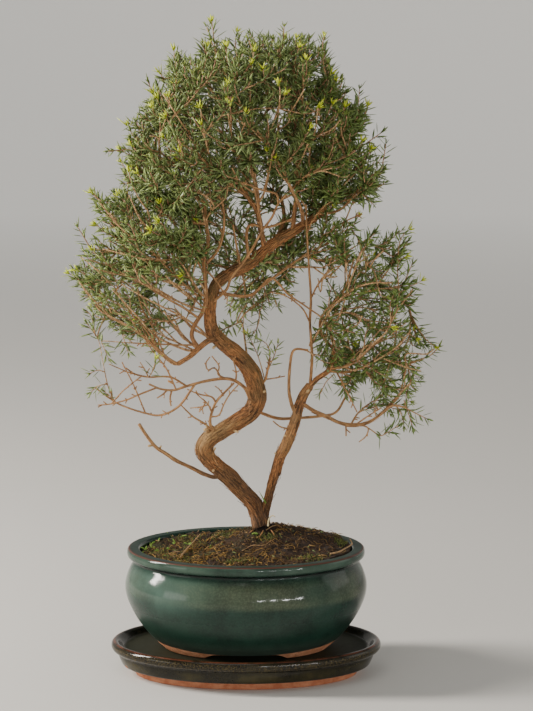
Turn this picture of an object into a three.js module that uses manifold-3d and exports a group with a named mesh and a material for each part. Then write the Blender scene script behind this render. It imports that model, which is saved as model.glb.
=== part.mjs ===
// Manuka bonsai: a two-stemmed tree in an oval glazed pot on an oval glazed saucer.
// Millimetres, +Z up. +X is the viewer's right and +Y points away from the viewer.
// The origin is on the surface that the saucer stands on, under the middle of the part's box.

import * as THREE from 'three';
import { mergeVertices } from 'three/addons/utils/BufferGeometryUtils.js';
import Module from 'manifold-3d';

const wasm = await Module();
wasm.setup();

// Driving dimensions: heights above the standing surface and half lengths of the ovals.
const SEAT_GAP = 0.3;
const JOIN_TOLERANCE = 0.03;
const OVAL_SEGMENTS = 28;
const RIM_HEIGHT = 129;
const RIM_HALF_LENGTH = 118.5;
const RIM_HALF_DEPTH = 92.8;
const LIP_WIDTH = 13;
const POT_UNDERSIDE = 33.5;
const POT_FLOOR_TOP = 41;
const SAUCER_FLOOR_TOP = 27;
const POT_FOOT = SAUCER_FLOOR_TOP + SEAT_GAP;
const SAUCER_HOLLOW = 20;
const SAUCER_LIP_HEIGHT = 34;
const SAUCER_HALF_LENGTH = 135.5;
const SAUCER_HALF_DEPTH = 90;
const DRAIN_HOLE_RADIUS = 10;
const DRAIN_HOLE_X = 42;

// Foot arches, wide along the front and narrow at the ends: width at the top and at the bottom.
const FRONT_ARCH = [68, 86];
const END_ARCH = [26, 40];

// The tree's foot: a flared plug in a plain round hole in the soil.
const FOOT = { x: 17, y: 12, bottom: 130, soil: 147, neck: 160, radius: 13, neckRadius: 9.5 };

// Leaves and shoots, at the true size of the species' small pointed leaves.
const LEAF_LENGTH = 11;
const LEAF_HALF_WIDTH = 1.15;
const LEAF_KEEL = 0.75;
const LEAF_LEAN = THREE.MathUtils.degToRad(50);
const SHOOT_RADIUS = 1.0;
const LEAF_BAND = 1.8;
const TWIG_WIDTHS = [3, 2.7, 2.4];
const LEAFY_REACH = 9.4;
const MAIN_WHORLS = 3;
const SIDE_WHORLS = 2;

// The first whorl stands a little up the shoot and the last a little below its tip, counted in
// whorls, and the shoot's stem thins towards the tip.
const FIRST_WHORL = 0.75;
const LAST_WHORL_GAP = 0.35;
const THINNEST = 0.6;
const TIP_SHARE = 0.55;

// A side shoot: where it leaves the main one, how long it is, and how far forward and aside its
// bend and its tip lie as shares of that. Its lean is kept a little upward.
const SIDE_SHOOT = {
	attempts: 30, lowest: 0.16, range: 0.3, length: 22, extra: 8, upward: 0.15,
	bend: { forward: 0.2, aside: 0.5 }, tip: { forward: 0.62, aside: 0.78 }, inside: 3,
};

// A twig leaves along its limb, sags a little and turns up to its tip: shares of its span.
const TWIG = { leaving: 0.3, arriving: 0.66, sag: 0.12 };
const BARE_SHARES = [0.24, 0.32, 0.4, 0.48];
const LEAST_BARE = 5;
const FIRST_LEAVES = 0.14;
const DEPTH_SHIFTS = [0, 7, -7, 14, -14, 21, -21, 28, -28];

// The middle of the crown, which side shoots keep nearer to than their spray's own tip.
const CROWN_HEART = new THREE.Vector3(10, 0, 430);

// The limbs are laid out as they are drawn from the front, across and up in a drawing plane seen
// from EYE and tipped back by EYE_TILT. A point's depth then carries it along its sight line.
const EYE = new THREE.Vector3(20.5, -2300, 668);
const EYE_TILT = THREE.MathUtils.degToRad(8.56);
const DRAWING_CENTRE = new THREE.Vector3(20.5, 28.8, 317.4);
const DRAWING_CENTRE_UP = 318.5;

function alongSight([across, up, depth]) {
	const rise = up - DRAWING_CENTRE_UP;
	const drawn = new THREE.Vector3(
		across,
		DRAWING_CENTRE.y + rise * Math.sin(EYE_TILT),
		DRAWING_CENTRE.z + rise * Math.cos(EYE_TILT),
	);
	const ray = drawn.sub(EYE);
	return EYE.clone().addScaledVector(ray, (depth - EYE.y) / ray.y);
}

// Limbs: [name, parent, sides, [start width, end width], points]. Each point is [across, up, depth],
// and on the two stems a width of its own. A limb starts on its parent's centre line, nearest to its
// first point.
const LIMBS = [
	['stem', null, 8, null, [
		[15, 149, 12, 15], [11, 163, 12, 15.5], [6, 173, 10, 15.5], [-5, 184, 8, 15.5],
		[-17, 197, 6, 16.5], [-27, 206, 4, 15], [-36, 214, 2, 15], [-42, 224, 1, 17],
		[-38, 234, 1, 16], [-26, 242, 2, 15], [-8, 253, 6, 16], [5, 262, 9, 16.5], [11, 274, 10, 17],
		[10, 287, 9, 16.5], [5, 302, 5, 16.5], [-8, 319, 0, 15], [-24, 332, -4, 13.5],
		[-34, 344, -6, 12.5], [-36, 361, -6, 11], [-34, 379, -4, 10.5], [-28, 392, -2, 10.5],
		[-15, 401, 2, 10.5], [4, 411, 6, 11], [19, 424, 8, 10], [35, 436, 10, 9.5], [46, 442, 10, 8.5],
		[57, 449, 10, 7.5],
	]],
	['right_stem', null, 6, null, [
		[17, 152, 12, 9], [20, 166, 9, 7.5], [24, 183, 5, 8], [29, 200, 1, 9], [34, 217, -2, 9.5],
		[39, 227, -4, 10.5], [45, 241, -6, 10], [50, 256, -8, 9.5], [53, 268, -9, 9],
		[58, 280, -10, 8.5], [64, 289, -10, 8],
	]],
	['crown_left', 'stem', 4, [5.2, 2.6], [
		[17, 425, 8], [12, 459, 5], [3, 475, 6], [-12, 497, 9], [-40, 522, 8], [-68, 546, 5],
	]],
	['crown_middle', 'crown_left', 4, [3.8, 2.4], [
		[12, 459, 5], [12, 478, -2], [8, 499, -8], [3, 520, -10], [-6, 550, -8], [-16, 586, -4],
	]],
	['crown_back', 'stem', 4, [4.6, 2.4], [
		[30, 433, 9], [38, 458, 32], [30, 492, 54], [14, 526, 64], [-8, 560, 60],
	]],
	['crown_right', 'stem', 4, [5.4, 2.4], [
		[54, 447, 10], [70, 456, 5], [83, 473, 0], [90, 488, -2], [98, 512, 0], [106, 540, 4],
	]],
	['crown_top', 'stem', 4, [4.6, 2.4], [
		[47, 442, 10], [49, 468, 8], [52, 500, 6], [50, 535, 3], [44, 570, 0], [38, 600, 0],
	]],
	['crown_front', 'stem', 4, [4.2, 2.4], [
		[57, 449, 10], [56, 462, -14], [46, 484, -40], [32, 512, -58], [14, 540, -64],
	]],
	['crown_far_back', 'stem', 4, [4.2, 2.4], [
		[52, 445, 10], [72, 464, 34], [86, 492, 52], [92, 526, 60],
	]],
	['crown_right_twig', 'crown_right', 3, [2.8, 2.2], [
		[72, 458, 4], [95, 465, -12], [114, 486, -22], [130, 498, -26],
	]],
	['crown_front_left', 'crown_left', 3, [3, 2.4], [
		[2, 476, 6], [-10, 486, -22], [-30, 502, -46], [-52, 524, -58],
	]],
	['crown_back_left', 'crown_left', 3, [3.2, 2.4], [
		[-8, 492, 8], [-26, 508, 34], [-48, 530, 54], [-64, 556, 58],
	]],
	['pale_branch', 'stem', 4, [3, 2.2], [
		[-32, 370, -5], [-20, 384, -16], [-15, 396, -22], [-4, 410, -24], [6, 425, -24], [16, 443, -25],
		[26, 457, -27], [32, 470, -29], [41, 480, -30], [57, 494, -32], [72, 503, -34], [86, 507, -36],
	]],
	['ochre_limb', 'stem', 4, [5.5, 4], [
		[-24, 332, -4], [-36, 334, -14], [-47, 326, -20], [-57, 317, -24], [-69, 310, -27],
	]],
	['left_riser', 'ochre_limb', 4, [4.6, 2.8], [
		[-47, 326, -20], [-54, 337, -20], [-52, 348, -18], [-42, 365, -17], [-40, 382, -17],
		[-42, 412, -18], [-38, 432, -18], [-41, 458, -16], [-44, 473, -14], [-62, 483, -12],
		[-84, 494, -8], [-104, 510, -4],
	]],
	['left_high', 'left_riser', 3, [3.6, 2.4], [
		[-42, 414, -18], [-56, 418, -16], [-79, 414, -10], [-100, 414, -4], [-124, 420, 0],
		[-138, 424, 2],
	]],
	['left_high_up', 'left_high', 3, [2.8, 2.2], [
		[-70, 415, -12], [-88, 434, -6], [-110, 438, 0], [-128, 444, 4], [-138, 456, 6],
	]],
	['left_low', 'ochre_limb', 3, [3.6, 2.4], [
		[-68, 310, -27], [-80, 317, -32], [-94, 330, -34], [-104, 339, -32], [-118, 348, -28],
		[-134, 356, -22], [-146, 364, -16], [-155, 376, -12],
	]],
	['left_front', 'left_riser', 3, [2.8, 2.4], [
		[-48, 356, -18], [-62, 366, -34], [-80, 376, -48], [-96, 386, -56],
	]],
	['left_back', 'left_riser', 3, [3, 2.4], [
		[-41, 392, -17], [-58, 396, 6], [-80, 398, 28], [-100, 402, 42],
	]],
	['long_sweep', 'stem', 4, [4, 2.2], [
		[6, 268, 9], [3, 278, -2], [-2, 287, -8], [-16, 295, -14], [-35, 294, -20], [-59, 288, -26],
		[-72, 284, -30], [-85, 285, -34], [-97, 290, -38],
	]],
	['long_sweep_low', 'long_sweep', 3, [2.6, 2], [
		[-50, 290, -24], [-67, 268, -20], [-85, 259, -18], [-101, 261, -14], [-125, 269, -10],
		[-141, 279, -6], [-150, 286, -4],
	]],
	['long_sweep_high', 'long_sweep', 3, [2.4, 2], [
		[-60, 288, -26], [-76, 297, -32], [-97, 297, -40], [-111, 300, -44], [-120, 306, -46],
	]],
	['bare_branch', 'stem', 4, [4.4, 3.2], [
		[-22, 201, 5], [-31, 197, 2], [-42, 200, -1], [-54, 206, -4], [-69, 213, -8],
		[-81, 221, -10], [-90, 227, -12],
		[-99, 238, -14], [-107, 250, -16],
	]],
	['little_spur', 'stem', 3, [3.4, 2.2], [
		[-30, 240, 2], [-36, 252, -12], [-31, 270, -16], [-22, 281, -18], [-12, 291, -19],
	]],
	['right_arm', 'stem', 4, [3.8, 2.6], [
		[-13, 376, -4], [1, 378, 4], [16, 388, 8], [31, 399, 10], [46, 410, 10], [59, 419, 8],
		[72, 426, 6], [83, 431, 4],
	]],
	['tall_twig', 'right_stem', 3, [3, 2.2], [
		[64, 289, -10], [66, 318, -4], [64, 352, 0], [65, 375, 2], [63, 406, -4], [61, 440, -8],
		[60, 470, -10],
	]],
	['right_fork', 'right_stem', 4, [5.4, 3.2], [
		[61, 286, -10], [71, 295, -12], [84, 305, -14], [87, 318, -14], [88, 334, -12],
	]],
	['right_bright', 'right_fork', 3, [3.2, 2.2], [
		[84, 305, -14], [100, 308, -22], [113, 315, -26], [124, 326, -28], [136, 335, -30],
	]],
	['right_brown', 'right_fork', 3, [3.4, 2.4], [
		[84, 304, -14], [97, 302, -6], [110, 304, 0], [129, 314, 6], [147, 323, 10], [157, 336, 12],
	]],
	['right_leafy', 'right_brown', 3, [2.4, 2.2], [
		[128, 314, 6], [144, 312, 2], [160, 310, -2], [174, 314, -4],
	]],
	['right_low', 'right_stem', 4, [4.2, 2.6], [
		[58, 270, -9], [68, 263, -14], [80, 258, -18], [92, 252, -20], [104, 249, -22], [116, 250, -22],
		[128, 255, -22], [142, 266, -20], [154, 280, -18],
	]],
	['right_low_fork', 'right_low', 3, [2.4, 2.2], [
		[138, 262, -20], [146, 268, -30], [160, 267, -36],
	]],
	['right_cross', 'stem', 3, [3.6, 2.4], [
		[12, 262, 10], [30, 256, 16], [50, 256, 20], [75, 258, 22], [90, 262, 22], [99, 276, 22],
		[110, 294, 22],
	]],
	['right_inner', 'right_stem', 3, [4, 2.4], [
		[50, 258, -8], [45, 272, -16], [43, 286, -20], [44, 309, -22], [48, 324, -20], [62, 324, -18],
	]],
	['right_upper', 'right_fork', 4, [3.4, 2.4], [
		[87, 326, -13], [78, 336, -2], [74, 352, 6], [84, 368, 12], [104, 382, 18], [124, 391, 20],
		[142, 391, 20],
	]],
	['right_upper_rise', 'right_upper', 3, [2.6, 2.2], [
		[88, 370, 13], [98, 384, 0], [104, 402, -8], [108, 416, -12],
	]],
	['right_upper_back', 'right_upper', 3, [2.6, 2.2], [
		[78, 360, 8], [88, 372, 30], [104, 390, 46],
	]],
];

// Leafy sprays: [limb, how far along it the twig leaves, the spray's tip as [across, up, depth]].
const SPRAYS = [
	['crown_middle', 1, [-35, 655, -6]],
	['crown_top', 1, [38, 652, -6]],
	['crown_top', 0.8, [0, 646, 18]],
	['crown_top', 0.75, [79, 640, 6]],
	['crown_top', 0.6, [88, 606, -30]],
	['crown_left', 1, [-100, 597, -4]],
	['crown_left', 0.85, [-72, 622, 14]],
	['crown_left', 0.9, [-118, 552, 12]],
	['crown_left', 0.7, [-100, 575, -34]],
	['crown_back', 1, [-30, 610, 66]],
	['crown_back', 0.8, [36, 600, 78]],
	['crown_back', 0.6, [-2, 520, 100]],
	['crown_front', 1, [-20, 590, -66]],
	['crown_front', 0.85, [40, 585, -78]],
	['crown_front', 0.65, [58, 530, -88]],
	['crown_front', 0.9, [-14, 530, -98]],
	['crown_right', 1, [117, 592, 0]],
	['crown_right', 0.8, [138, 545, 14]],
	['crown_right_twig', 1, [148, 532, -30]],
	['crown_right_twig', 0.6, [128, 470, -46]],
	['crown_far_back', 1, [92, 580, 62]],
	['crown_far_back', 0.7, [122, 505, 70]],
	['crown_front_left', 1, [-84, 552, -74]],
	['crown_front_left', 0.75, [-62, 484, -80]],
	['crown_back_left', 1, [-84, 600, 52]],
	['crown_back_left', 0.7, [-80, 510, 78]],
	['left_riser', 1, [-132, 538, -2]],
	['left_riser', 0.9, [-124, 492, -30]],
	['pale_branch', 1, [112, 540, -60]],
	['left_high_up', 1, [-152, 484, 8]],
	['left_high', 1, [-176, 440, 4]],
	['left_high', 0.85, [-150, 396, 22]],
	['left_high', 0.6, [-104, 460, -34]],
	['left_low', 1, [-174, 408, -14]],
	['left_low', 0.85, [-164, 346, -8]],
	['left_low', 0.6, [-118, 322, -56]],
	['left_front', 1, [-118, 412, -72]],
	['left_back', 1, [-120, 436, 54]],
	['long_sweep_high', 1, [-142, 318, -50]],
	['right_bright', 1, [160, 352, -34]],
	['right_brown', 1, [176, 366, 14]],
	['right_leafy', 1, [192, 326, -6]],
	['right_low', 1, [170, 300, -18]],
	['right_low_fork', 1, [180, 256, -42]],
	['right_low', 0.6, [150, 236, -34]],
	['right_cross', 1, [136, 318, 34]],
	['right_upper', 1, [174, 404, 22]],
	['right_upper', 0.8, [164, 436, 10]],
	['right_upper_rise', 1, [116, 450, -18]],
	['right_upper_back', 1, [128, 420, 62]],
	['stem', 0.62, [2, 352, 56]],
	['stem', 0.88, [46, 392, 62]],
	['crown_back', 0.4, [6, 456, 84]],
];

// Small seeded generator, so that the tree grows the same way each time.
function seededRandom(seed) {
	let state = seed >>> 0;
	return () => {
		state = (state + 0x6d2b79f5) >>> 0;
		let t = state;
		t = Math.imul(t ^ (t >>> 15), t | 1);
		t ^= t + Math.imul(t ^ (t >>> 7), t | 61);
		return ((t ^ (t >>> 14)) >>> 0) / 4294967296;
	};
}

// Closed geometry with shared vertices, no empty triangles and its faces pointing out.
function closed(geometry) {
	for (const name of ['normal', 'uv']) geometry.deleteAttribute(name);
	const merged = mergeVertices(geometry, 1e-4);
	const index = merged.index.array;
	const position = merged.attributes.position;
	const kept = [];
	let volume = 0;
	const corner = [0, 1, 2].map(() => new THREE.Vector3());
	for (let i = 0; i < index.length; i += 3) {
		const [a, b, c] = index.slice(i, i + 3);
		if (a === b || b === c || c === a) continue;
		kept.push(a, b, c);
		[a, b, c].forEach((v, k) => corner[k].fromBufferAttribute(position, v));
		volume += corner[0].dot(corner[1].cross(corner[2]));
	}
	if (volume < 0) kept.reverse();
	merged.setIndex(kept);
	return merged;
}

function solid(geometry) {
	const mesh = closed(geometry);
	return new wasm.Manifold(new wasm.Mesh({
		numProp: 3,
		vertProperties: Float32Array.from(mesh.attributes.position.array),
		triVerts: Uint32Array.from(mesh.index.array),
	}));
}

// The outer skin of the largest body: sealed hollows are filled, loose scraps dropped, and slivers
// along the joins that are thinner than JOIN_TOLERANCE closed up.
function geometryOf(manifold) {
	const bodies = manifold.setTolerance(JOIN_TOLERANCE).decompose().sort((a, b) => b.volume() - a.volume());
	const mesh = bodies[0].getMesh();
	const geometry = new THREE.BufferGeometry();
	geometry.setAttribute('position', new THREE.BufferAttribute(mesh.vertProperties, 3));
	geometry.setIndex(new THREE.BufferAttribute(mesh.triVerts, 1));
	return geometry;
}

// An oval turned solid: profile points are [half length, height], and the depth is shorter all
// round by the same amount, as it is on a thrown oval pot.
function ovalSolid(profile, halfLength, halfDepth) {
	const points = profile.map(([radius, height]) => new THREE.Vector2(radius, height));
	const geometry = new THREE.LatheGeometry(points, OVAL_SEGMENTS);
	geometry.rotateX(Math.PI / 2);
	const position = geometry.attributes.position;
	for (let i = 0; i < position.count; i++) {
		const radius = Math.hypot(position.getX(i), position.getY(i));
		if (radius > 1e-6) position.setY(i, position.getY(i) * (radius - halfLength + halfDepth) / radius);
	}
	return geometry;
}

// A prism with slanted ends, [width at the top, width at the bottom], that cuts a foot arch.
function archCutter([top, bottom], length, turned) {
	const shape = new THREE.Shape([
		new THREE.Vector2(-bottom / 2, POT_FOOT - 1),
		new THREE.Vector2(bottom / 2, POT_FOOT - 1),
		new THREE.Vector2(top / 2, POT_UNDERSIDE),
		new THREE.Vector2(-top / 2, POT_UNDERSIDE),
	]);
	const prism = new THREE.ExtrudeGeometry(shape, { depth: length, bevelEnabled: false });
	prism.translate(0, 0, -length / 2);
	prism.rotateX(Math.PI / 2);
	if (turned) prism.rotateZ(Math.PI / 2);
	return prism;
}

function inset(points) {
	return points.map(([step, height]) => [RIM_HALF_LENGTH - step, height]);
}

// Pot: rolled flat lip, neck groove, full belly, and a foot ring cut into four feet.
const CAVITY = inset([[31, POT_FLOOR_TOP], [19, 56], [10, 80], [LIP_WIDTH, 112]]);
const LIP_INNER = RIM_HALF_LENGTH - LIP_WIDTH;

function potGeometry() {
	const outside = inset([
		[46, POT_UNDERSIDE], [46, POT_FOOT], [35.5, POT_FOOT], [29, POT_UNDERSIDE], [18, 46], [9, 58], [2, 72],
		[-2.4, 88], [-1, 102], [6, 117], [1, 121], [0, 127.5], [1.5, RIM_HEIGHT],
	]);
	const inside = [[LIP_INNER, RIM_HEIGHT], ...CAVITY.slice().reverse()];
	const profile = [[0, POT_UNDERSIDE], ...outside, ...inside, [0, POT_FLOOR_TOP]];
	let pot = solid(ovalSolid(profile, RIM_HALF_LENGTH, RIM_HALF_DEPTH));
	pot = pot.subtract(solid(archCutter(FRONT_ARCH, 2.2 * RIM_HALF_DEPTH, false)));
	pot = pot.subtract(solid(archCutter(END_ARCH, 2.2 * RIM_HALF_LENGTH, true)));
	for (const side of [-1, 1]) {
		const hole = new THREE.CylinderGeometry(DRAIN_HOLE_RADIUS, DRAIN_HOLE_RADIUS, 20, 12);
		hole.rotateX(Math.PI / 2);
		hole.translate(side * DRAIN_HOLE_X, 0, POT_FLOOR_TOP - 4);
		pot = pot.subtract(solid(hole));
	}
	return geometryOf(pot);
}

// Saucer: hollow underneath, with a bare foot band, a glazed band, a groove and a rounded lip.
function saucerGeometry() {
	const edge = SAUCER_HALF_LENGTH;
	const profile = [
		[0, SAUCER_HOLLOW], [edge - 38, SAUCER_HOLLOW], [edge - 33, 14], [edge - 32, 0], [edge - 24, 0],
		[edge - 22.5, 7.5], [edge - 11, 10], [edge - 6, 21], [edge - 4.5, 24], [edge - 0.4, 27], [edge - 0.4, 32],
		[edge - 3.5, SAUCER_LIP_HEIGHT], [edge - 8, 32.5], [edge - 14, SAUCER_FLOOR_TOP], [0, SAUCER_FLOOR_TOP],
	];
	return ovalSolid(profile, SAUCER_HALF_LENGTH, SAUCER_HALF_DEPTH);
}

// Drainage screen: a square of plastic net over each drain hole.
const SCREEN = { size: 26, thickness: 1.2, holes: 2, hole: 8.5, pitch: 11.5 };

function screenGeometry() {
	const { size, thickness, holes, hole, pitch } = SCREEN;
	let plate = solid(new THREE.BoxGeometry(size, size, thickness));
	for (let i = 0; i < holes * holes; i++) {
		const cutter = new THREE.BoxGeometry(hole, hole, 3 * thickness);
		const [column, row] = [i % holes, Math.floor(i / holes)].map((k) => k - (holes - 1) / 2);
		cutter.translate(pitch * column, pitch * row, 0);
		plate = plate.subtract(solid(cutter));
	}
	return geometryOf(plate);
}

// Soil surface: low at the left, heaped round the trunk's foot and high at the right and the back.
function soilHeight(x, y) {
	const heap = (cx, cy, rx, ry) => Math.exp(-(((x - cx) / rx) ** 2) - (((y - cy) / ry) ** 2));
	const ripple = 1.1 * Math.sin(x / 9 + 1.3) * Math.cos(y / 11) + 0.7 * Math.sin(x / 4.7 - y / 6.1);
	const foot = 21.5 * heap(FOOT.x + 8, FOOT.y + 6, 52, 44);
	return 123.5 + foot + 6 * heap(78, 22, 34, 44) + 3 * heap(88, -38, 34, 30) + ripple;
}

function soilGeometry() {
	const gap = SEAT_GAP + 0.05;
	const bottom = POT_FLOOR_TOP + SEAT_GAP + SCREEN.thickness + SEAT_GAP;
	const wall = CAVITY.map(([radius, height]) => [radius - gap, Math.max(height, bottom)]);
	const edge = LIP_INNER - gap;
	const top = [1, 0.86, 0.66, 0.45, 0.24].map((part) => [edge * part, RIM_HEIGHT]);
	const profile = [[0, bottom], ...wall, ...top, [0, RIM_HEIGHT]];
	const geometry = ovalSolid(profile, RIM_HALF_LENGTH, RIM_HALF_DEPTH);
	const position = geometry.attributes.position;
	for (let i = 0; i < position.count; i++) {
		if (position.getZ(i) < RIM_HEIGHT - 1) continue;
		position.setZ(i, soilHeight(position.getX(i), position.getY(i)));
	}
	const hole = new THREE.CylinderGeometry(FOOT.radius + SEAT_GAP, FOOT.radius + SEAT_GAP, 60, 18);
	hole.rotateX(Math.PI / 2);
	hole.translate(FOOT.x, FOOT.y, FOOT.bottom - SEAT_GAP + 30);
	return geometryOf(solid(geometry).subtract(solid(hole)));
}

// Even, untwisted cross directions along a run of points.
function framesAlong(points) {
	const last = points.length - 1;
	const tangents = points.map((_, i) => points[Math.min(i + 1, last)].clone()
		.sub(points[Math.max(i - 1, 0)]).normalize());
	let side = Math.abs(tangents[0].y) < 0.9 ? new THREE.Vector3(0, 1, 0) : new THREE.Vector3(1, 0, 0);
	return tangents.map((tangent) => {
		side = side.clone().addScaledVector(tangent, -side.dot(tangent)).normalize();
		return { tangent, side, other: tangent.clone().cross(side) };
	});
}

// A closed tapered tube: a cylinder bent along a run of points with a width at each.
function tubeGeometry(points, widths, sides) {
	const steps = points.length - 1;
	const geometry = new THREE.CylinderGeometry(1, 1, steps, sides, steps);
	const frames = framesAlong(points);
	const position = geometry.attributes.position;
	for (let i = 0; i < position.count; i++) {
		const ring = Math.round(position.getY(i) + steps / 2);
		const { side, other } = frames[ring];
		const place = points[ring].clone()
			.addScaledVector(side, position.getX(i) * widths[ring] / 2)
			.addScaledVector(other, position.getZ(i) * widths[ring] / 2);
		position.setXYZ(i, place.x, place.y, place.z);
	}
	return geometry;
}

// Shortest distance between two straight pieces, for keeping sprays clear of wood and each other.
function distanceBetween(a, b) {
	const u = a.end.clone().sub(a.start);
	const v = b.end.clone().sub(b.start);
	const w = a.start.clone().sub(b.start);
	const [uu, uv, vv, uw, vw] = [u.dot(u), u.dot(v), v.dot(v), u.dot(w), v.dot(w)];
	const flat = uu * vv - uv * uv;
	let s = flat > 1e-9 ? THREE.MathUtils.clamp((uv * vw - vv * uw) / flat, 0, 1) : 0;
	const t = THREE.MathUtils.clamp((uv * s + vw) / vv, 0, 1);
	s = THREE.MathUtils.clamp((uv * t - uw) / uu, 0, 1);
	return w.addScaledVector(u, s).addScaledVector(v, -t).length();
}

function capsules(points, radii, owner) {
	return points.slice(1).map((end, i) => ({
		start: points[i], end, radius: Math.max(radii[i], radii[i + 1]), owner,
	}));
}

function clashes(candidates, placed, owners) {
	return candidates.some((a) => placed.some((b) => !owners.includes(b.owner)
		&& distanceBetween(a, b) < a.radius + b.radius));
}

// The limbs as runs of points with widths, each started on its parent's centre line.
function layOutLimbs() {
	const limbs = new Map();
	for (const [name, parent, sides, taper, drawn] of LIMBS) {
		const points = drawn.map(alongSight);
		if (parent) points[0] = nearestOn(limbs.get(parent).points, points[0]);
		const widths = drawn.map((point, i) => (taper
			? THREE.MathUtils.lerp(...taper, i / (drawn.length - 1))
			: point[3]));
		limbs.set(name, { points, widths, sides });
	}
	return limbs;
}

function nearestOn(points, target) {
	let best = null;
	points.slice(1).forEach((end, i) => {
		const near = new THREE.Line3(points[i], end).closestPointToPoint(target, true, new THREE.Vector3());
		if (!best || near.distanceTo(target) < best.distanceTo(target)) best = near;
	});
	return best;
}

// The twig under a spray and the spray's own stem: one curve that leaves the limb along its run.
function twigCurve(limb, along, tip) {
	const place = along * (limb.points.length - 1);
	const i = Math.min(Math.floor(place), limb.points.length - 2);
	const start = limb.points[i].clone().lerp(limb.points[i + 1], Math.min(place - i, 0.999));
	const run = limb.points[i + 1].clone().sub(limb.points[i]).normalize();
	const span = start.distanceTo(tip);
	const sag = new THREE.Vector3(0, 0, TWIG.sag * span);
	return new THREE.CubicBezierCurve3(
		start,
		start.clone().addScaledVector(run, TWIG.leaving * span),
		start.clone().lerp(tip, TWIG.arriving).sub(sag),
		tip,
	);
}

// A leafy shoot: a three-sided stem whose short bands carry a leaf on each side. Each leaf is a
// pointed blade with a keel, grown straight out of the stem's side, and each whorl is turned.
function leafyShoot(curve, from, to, whorls) {
	const rings = [[from, 0, 1]];
	const length = curve.getLength() * (to - from);
	const band = LEAF_BAND / length * (to - from);
	for (let k = 0; k < whorls; k++) {
		const place = THREE.MathUtils.lerp(from, to, (k + FIRST_WHORL) / (whorls + LAST_WHORL_GAP));
		const left = THREE.MathUtils.lerp(1, TIP_SHARE, (k + 1) / whorls);
		const scale = THREE.MathUtils.lerp(THINNEST, 1, left);
		rings.push([place, k, scale, true], [place + band, k, scale]);
	}
	const points = rings.map(([place]) => curve.getPoint(place));
	const frames = framesAlong(points);
	const corners = rings.map(([, turn, scale], i) => [0, 1, 2].map((side) => {
		const angle = (side * 2 + turn) * Math.PI / 3;
		return points[i].clone()
			.addScaledVector(frames[i].side, Math.cos(angle) * SHOOT_RADIUS * scale)
			.addScaledVector(frames[i].other, Math.sin(angle) * SHOOT_RADIUS * scale);
	}));
	const triangles = [[corners[0][2], corners[0][1], corners[0][0]]];
	for (let i = 0; i < rings.length - 1; i++) {
		for (let side = 0; side < 3; side++) {
			const next = (side + 1) % 3;
			const quad = [corners[i][side], corners[i][next], corners[i + 1][next], corners[i + 1][side]];
			if (rings[i][3]) triangles.push(...leafOn(quad, frames[i].tangent));
			else triangles.push([quad[0], quad[1], quad[3]], [quad[1], quad[2], quad[3]]);
		}
	}
	const top = corners[corners.length - 1];
	const apex = curve.getPoint(to);
	for (let side = 0; side < 3; side++) triangles.push([top[side], top[(side + 1) % 3], apex]);
	return new THREE.BufferGeometry().setFromPoints(triangles.flat());
}

function leafOn([a, b, c, d], tangent) {
	const foot = a.clone().add(b).add(c).add(d).multiplyScalar(0.25);
	const across = b.clone().sub(a).normalize();
	const out = across.clone().cross(tangent).normalize();
	const run = out.multiplyScalar(Math.sin(LEAF_LEAN)).addScaledVector(tangent, Math.cos(LEAF_LEAN));
	const below = across.clone().cross(run).normalize();
	const middle = foot.clone().addScaledVector(run, 0.5 * LEAF_LENGTH);
	const left = middle.clone().addScaledVector(across, -LEAF_HALF_WIDTH);
	const right = middle.clone().addScaledVector(across, LEAF_HALF_WIDTH);
	const keel = middle.clone().addScaledVector(below, LEAF_KEEL);
	const point = foot.clone().addScaledVector(run, LEAF_LENGTH);
	return [
		[a, left, d], [left, a, keel], [a, b, keel], [b, right, keel], [b, c, right], [d, left, right],
		[d, right, c], [right, left, point], [left, keel, point], [keel, right, point],
	];
}

// Where a curve is SEAT_GAP past the place t.
function justPast(curve, t) {
	const step = 1e-3;
	return t + SEAT_GAP * step / curve.getPoint(t).distanceTo(curve.getPoint(t + step));
}

// One spray: the main shoot to the tip and, on every other spray, a side shoot that stays clear
// of all else. A lone main shoot is leafier.
function growSpray(twig, split, placed, owner, random) {
	const from = justPast(twig, split);
	const lone = owner.index % 2;
	const parts = [solid(leafyShoot(twig, from, 1, MAIN_WHORLS + lone))];
	const outermost = twig.getPoint(1).distanceTo(CROWN_HEART) - SIDE_SHOOT.inside;
	for (let attempt = 0; attempt < SIDE_SHOOT.attempts && parts.length < 2 - lone; attempt++) {
		const place = THREE.MathUtils.lerp(from, 1, SIDE_SHOOT.lowest + SIDE_SHOOT.range * random());
		const start = twig.getPoint(place);
		const run = twig.getTangent(place);
		const lean = new THREE.Vector3(random(), random(), random() + SIDE_SHOOT.upward).subScalar(0.5);
		lean.addScaledVector(run, -lean.dot(run)).normalize();
		const reach = SIDE_SHOOT.length + SIDE_SHOOT.extra * random();
		const [bend, end] = [SIDE_SHOOT.bend, SIDE_SHOOT.tip].map(({ forward, aside }) => start.clone()
			.addScaledVector(run, forward * reach).addScaledVector(lean, aside * reach));
		const curve = new THREE.QuadraticBezierCurve3(start, bend, end);
		const guard = capsules(curve.getPoints(3), Array(4).fill(LEAFY_REACH), owner);
		if (end.distanceTo(CROWN_HEART) > outermost || clashes(guard, placed, [owner])) continue;
		parts.push(solid(leafyShoot(curve, 0, 1, SIDE_WHORLS)));
		placed.push(...guard);
	}
	return geometryOf(wasm.Manifold.union(parts));
}

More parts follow.
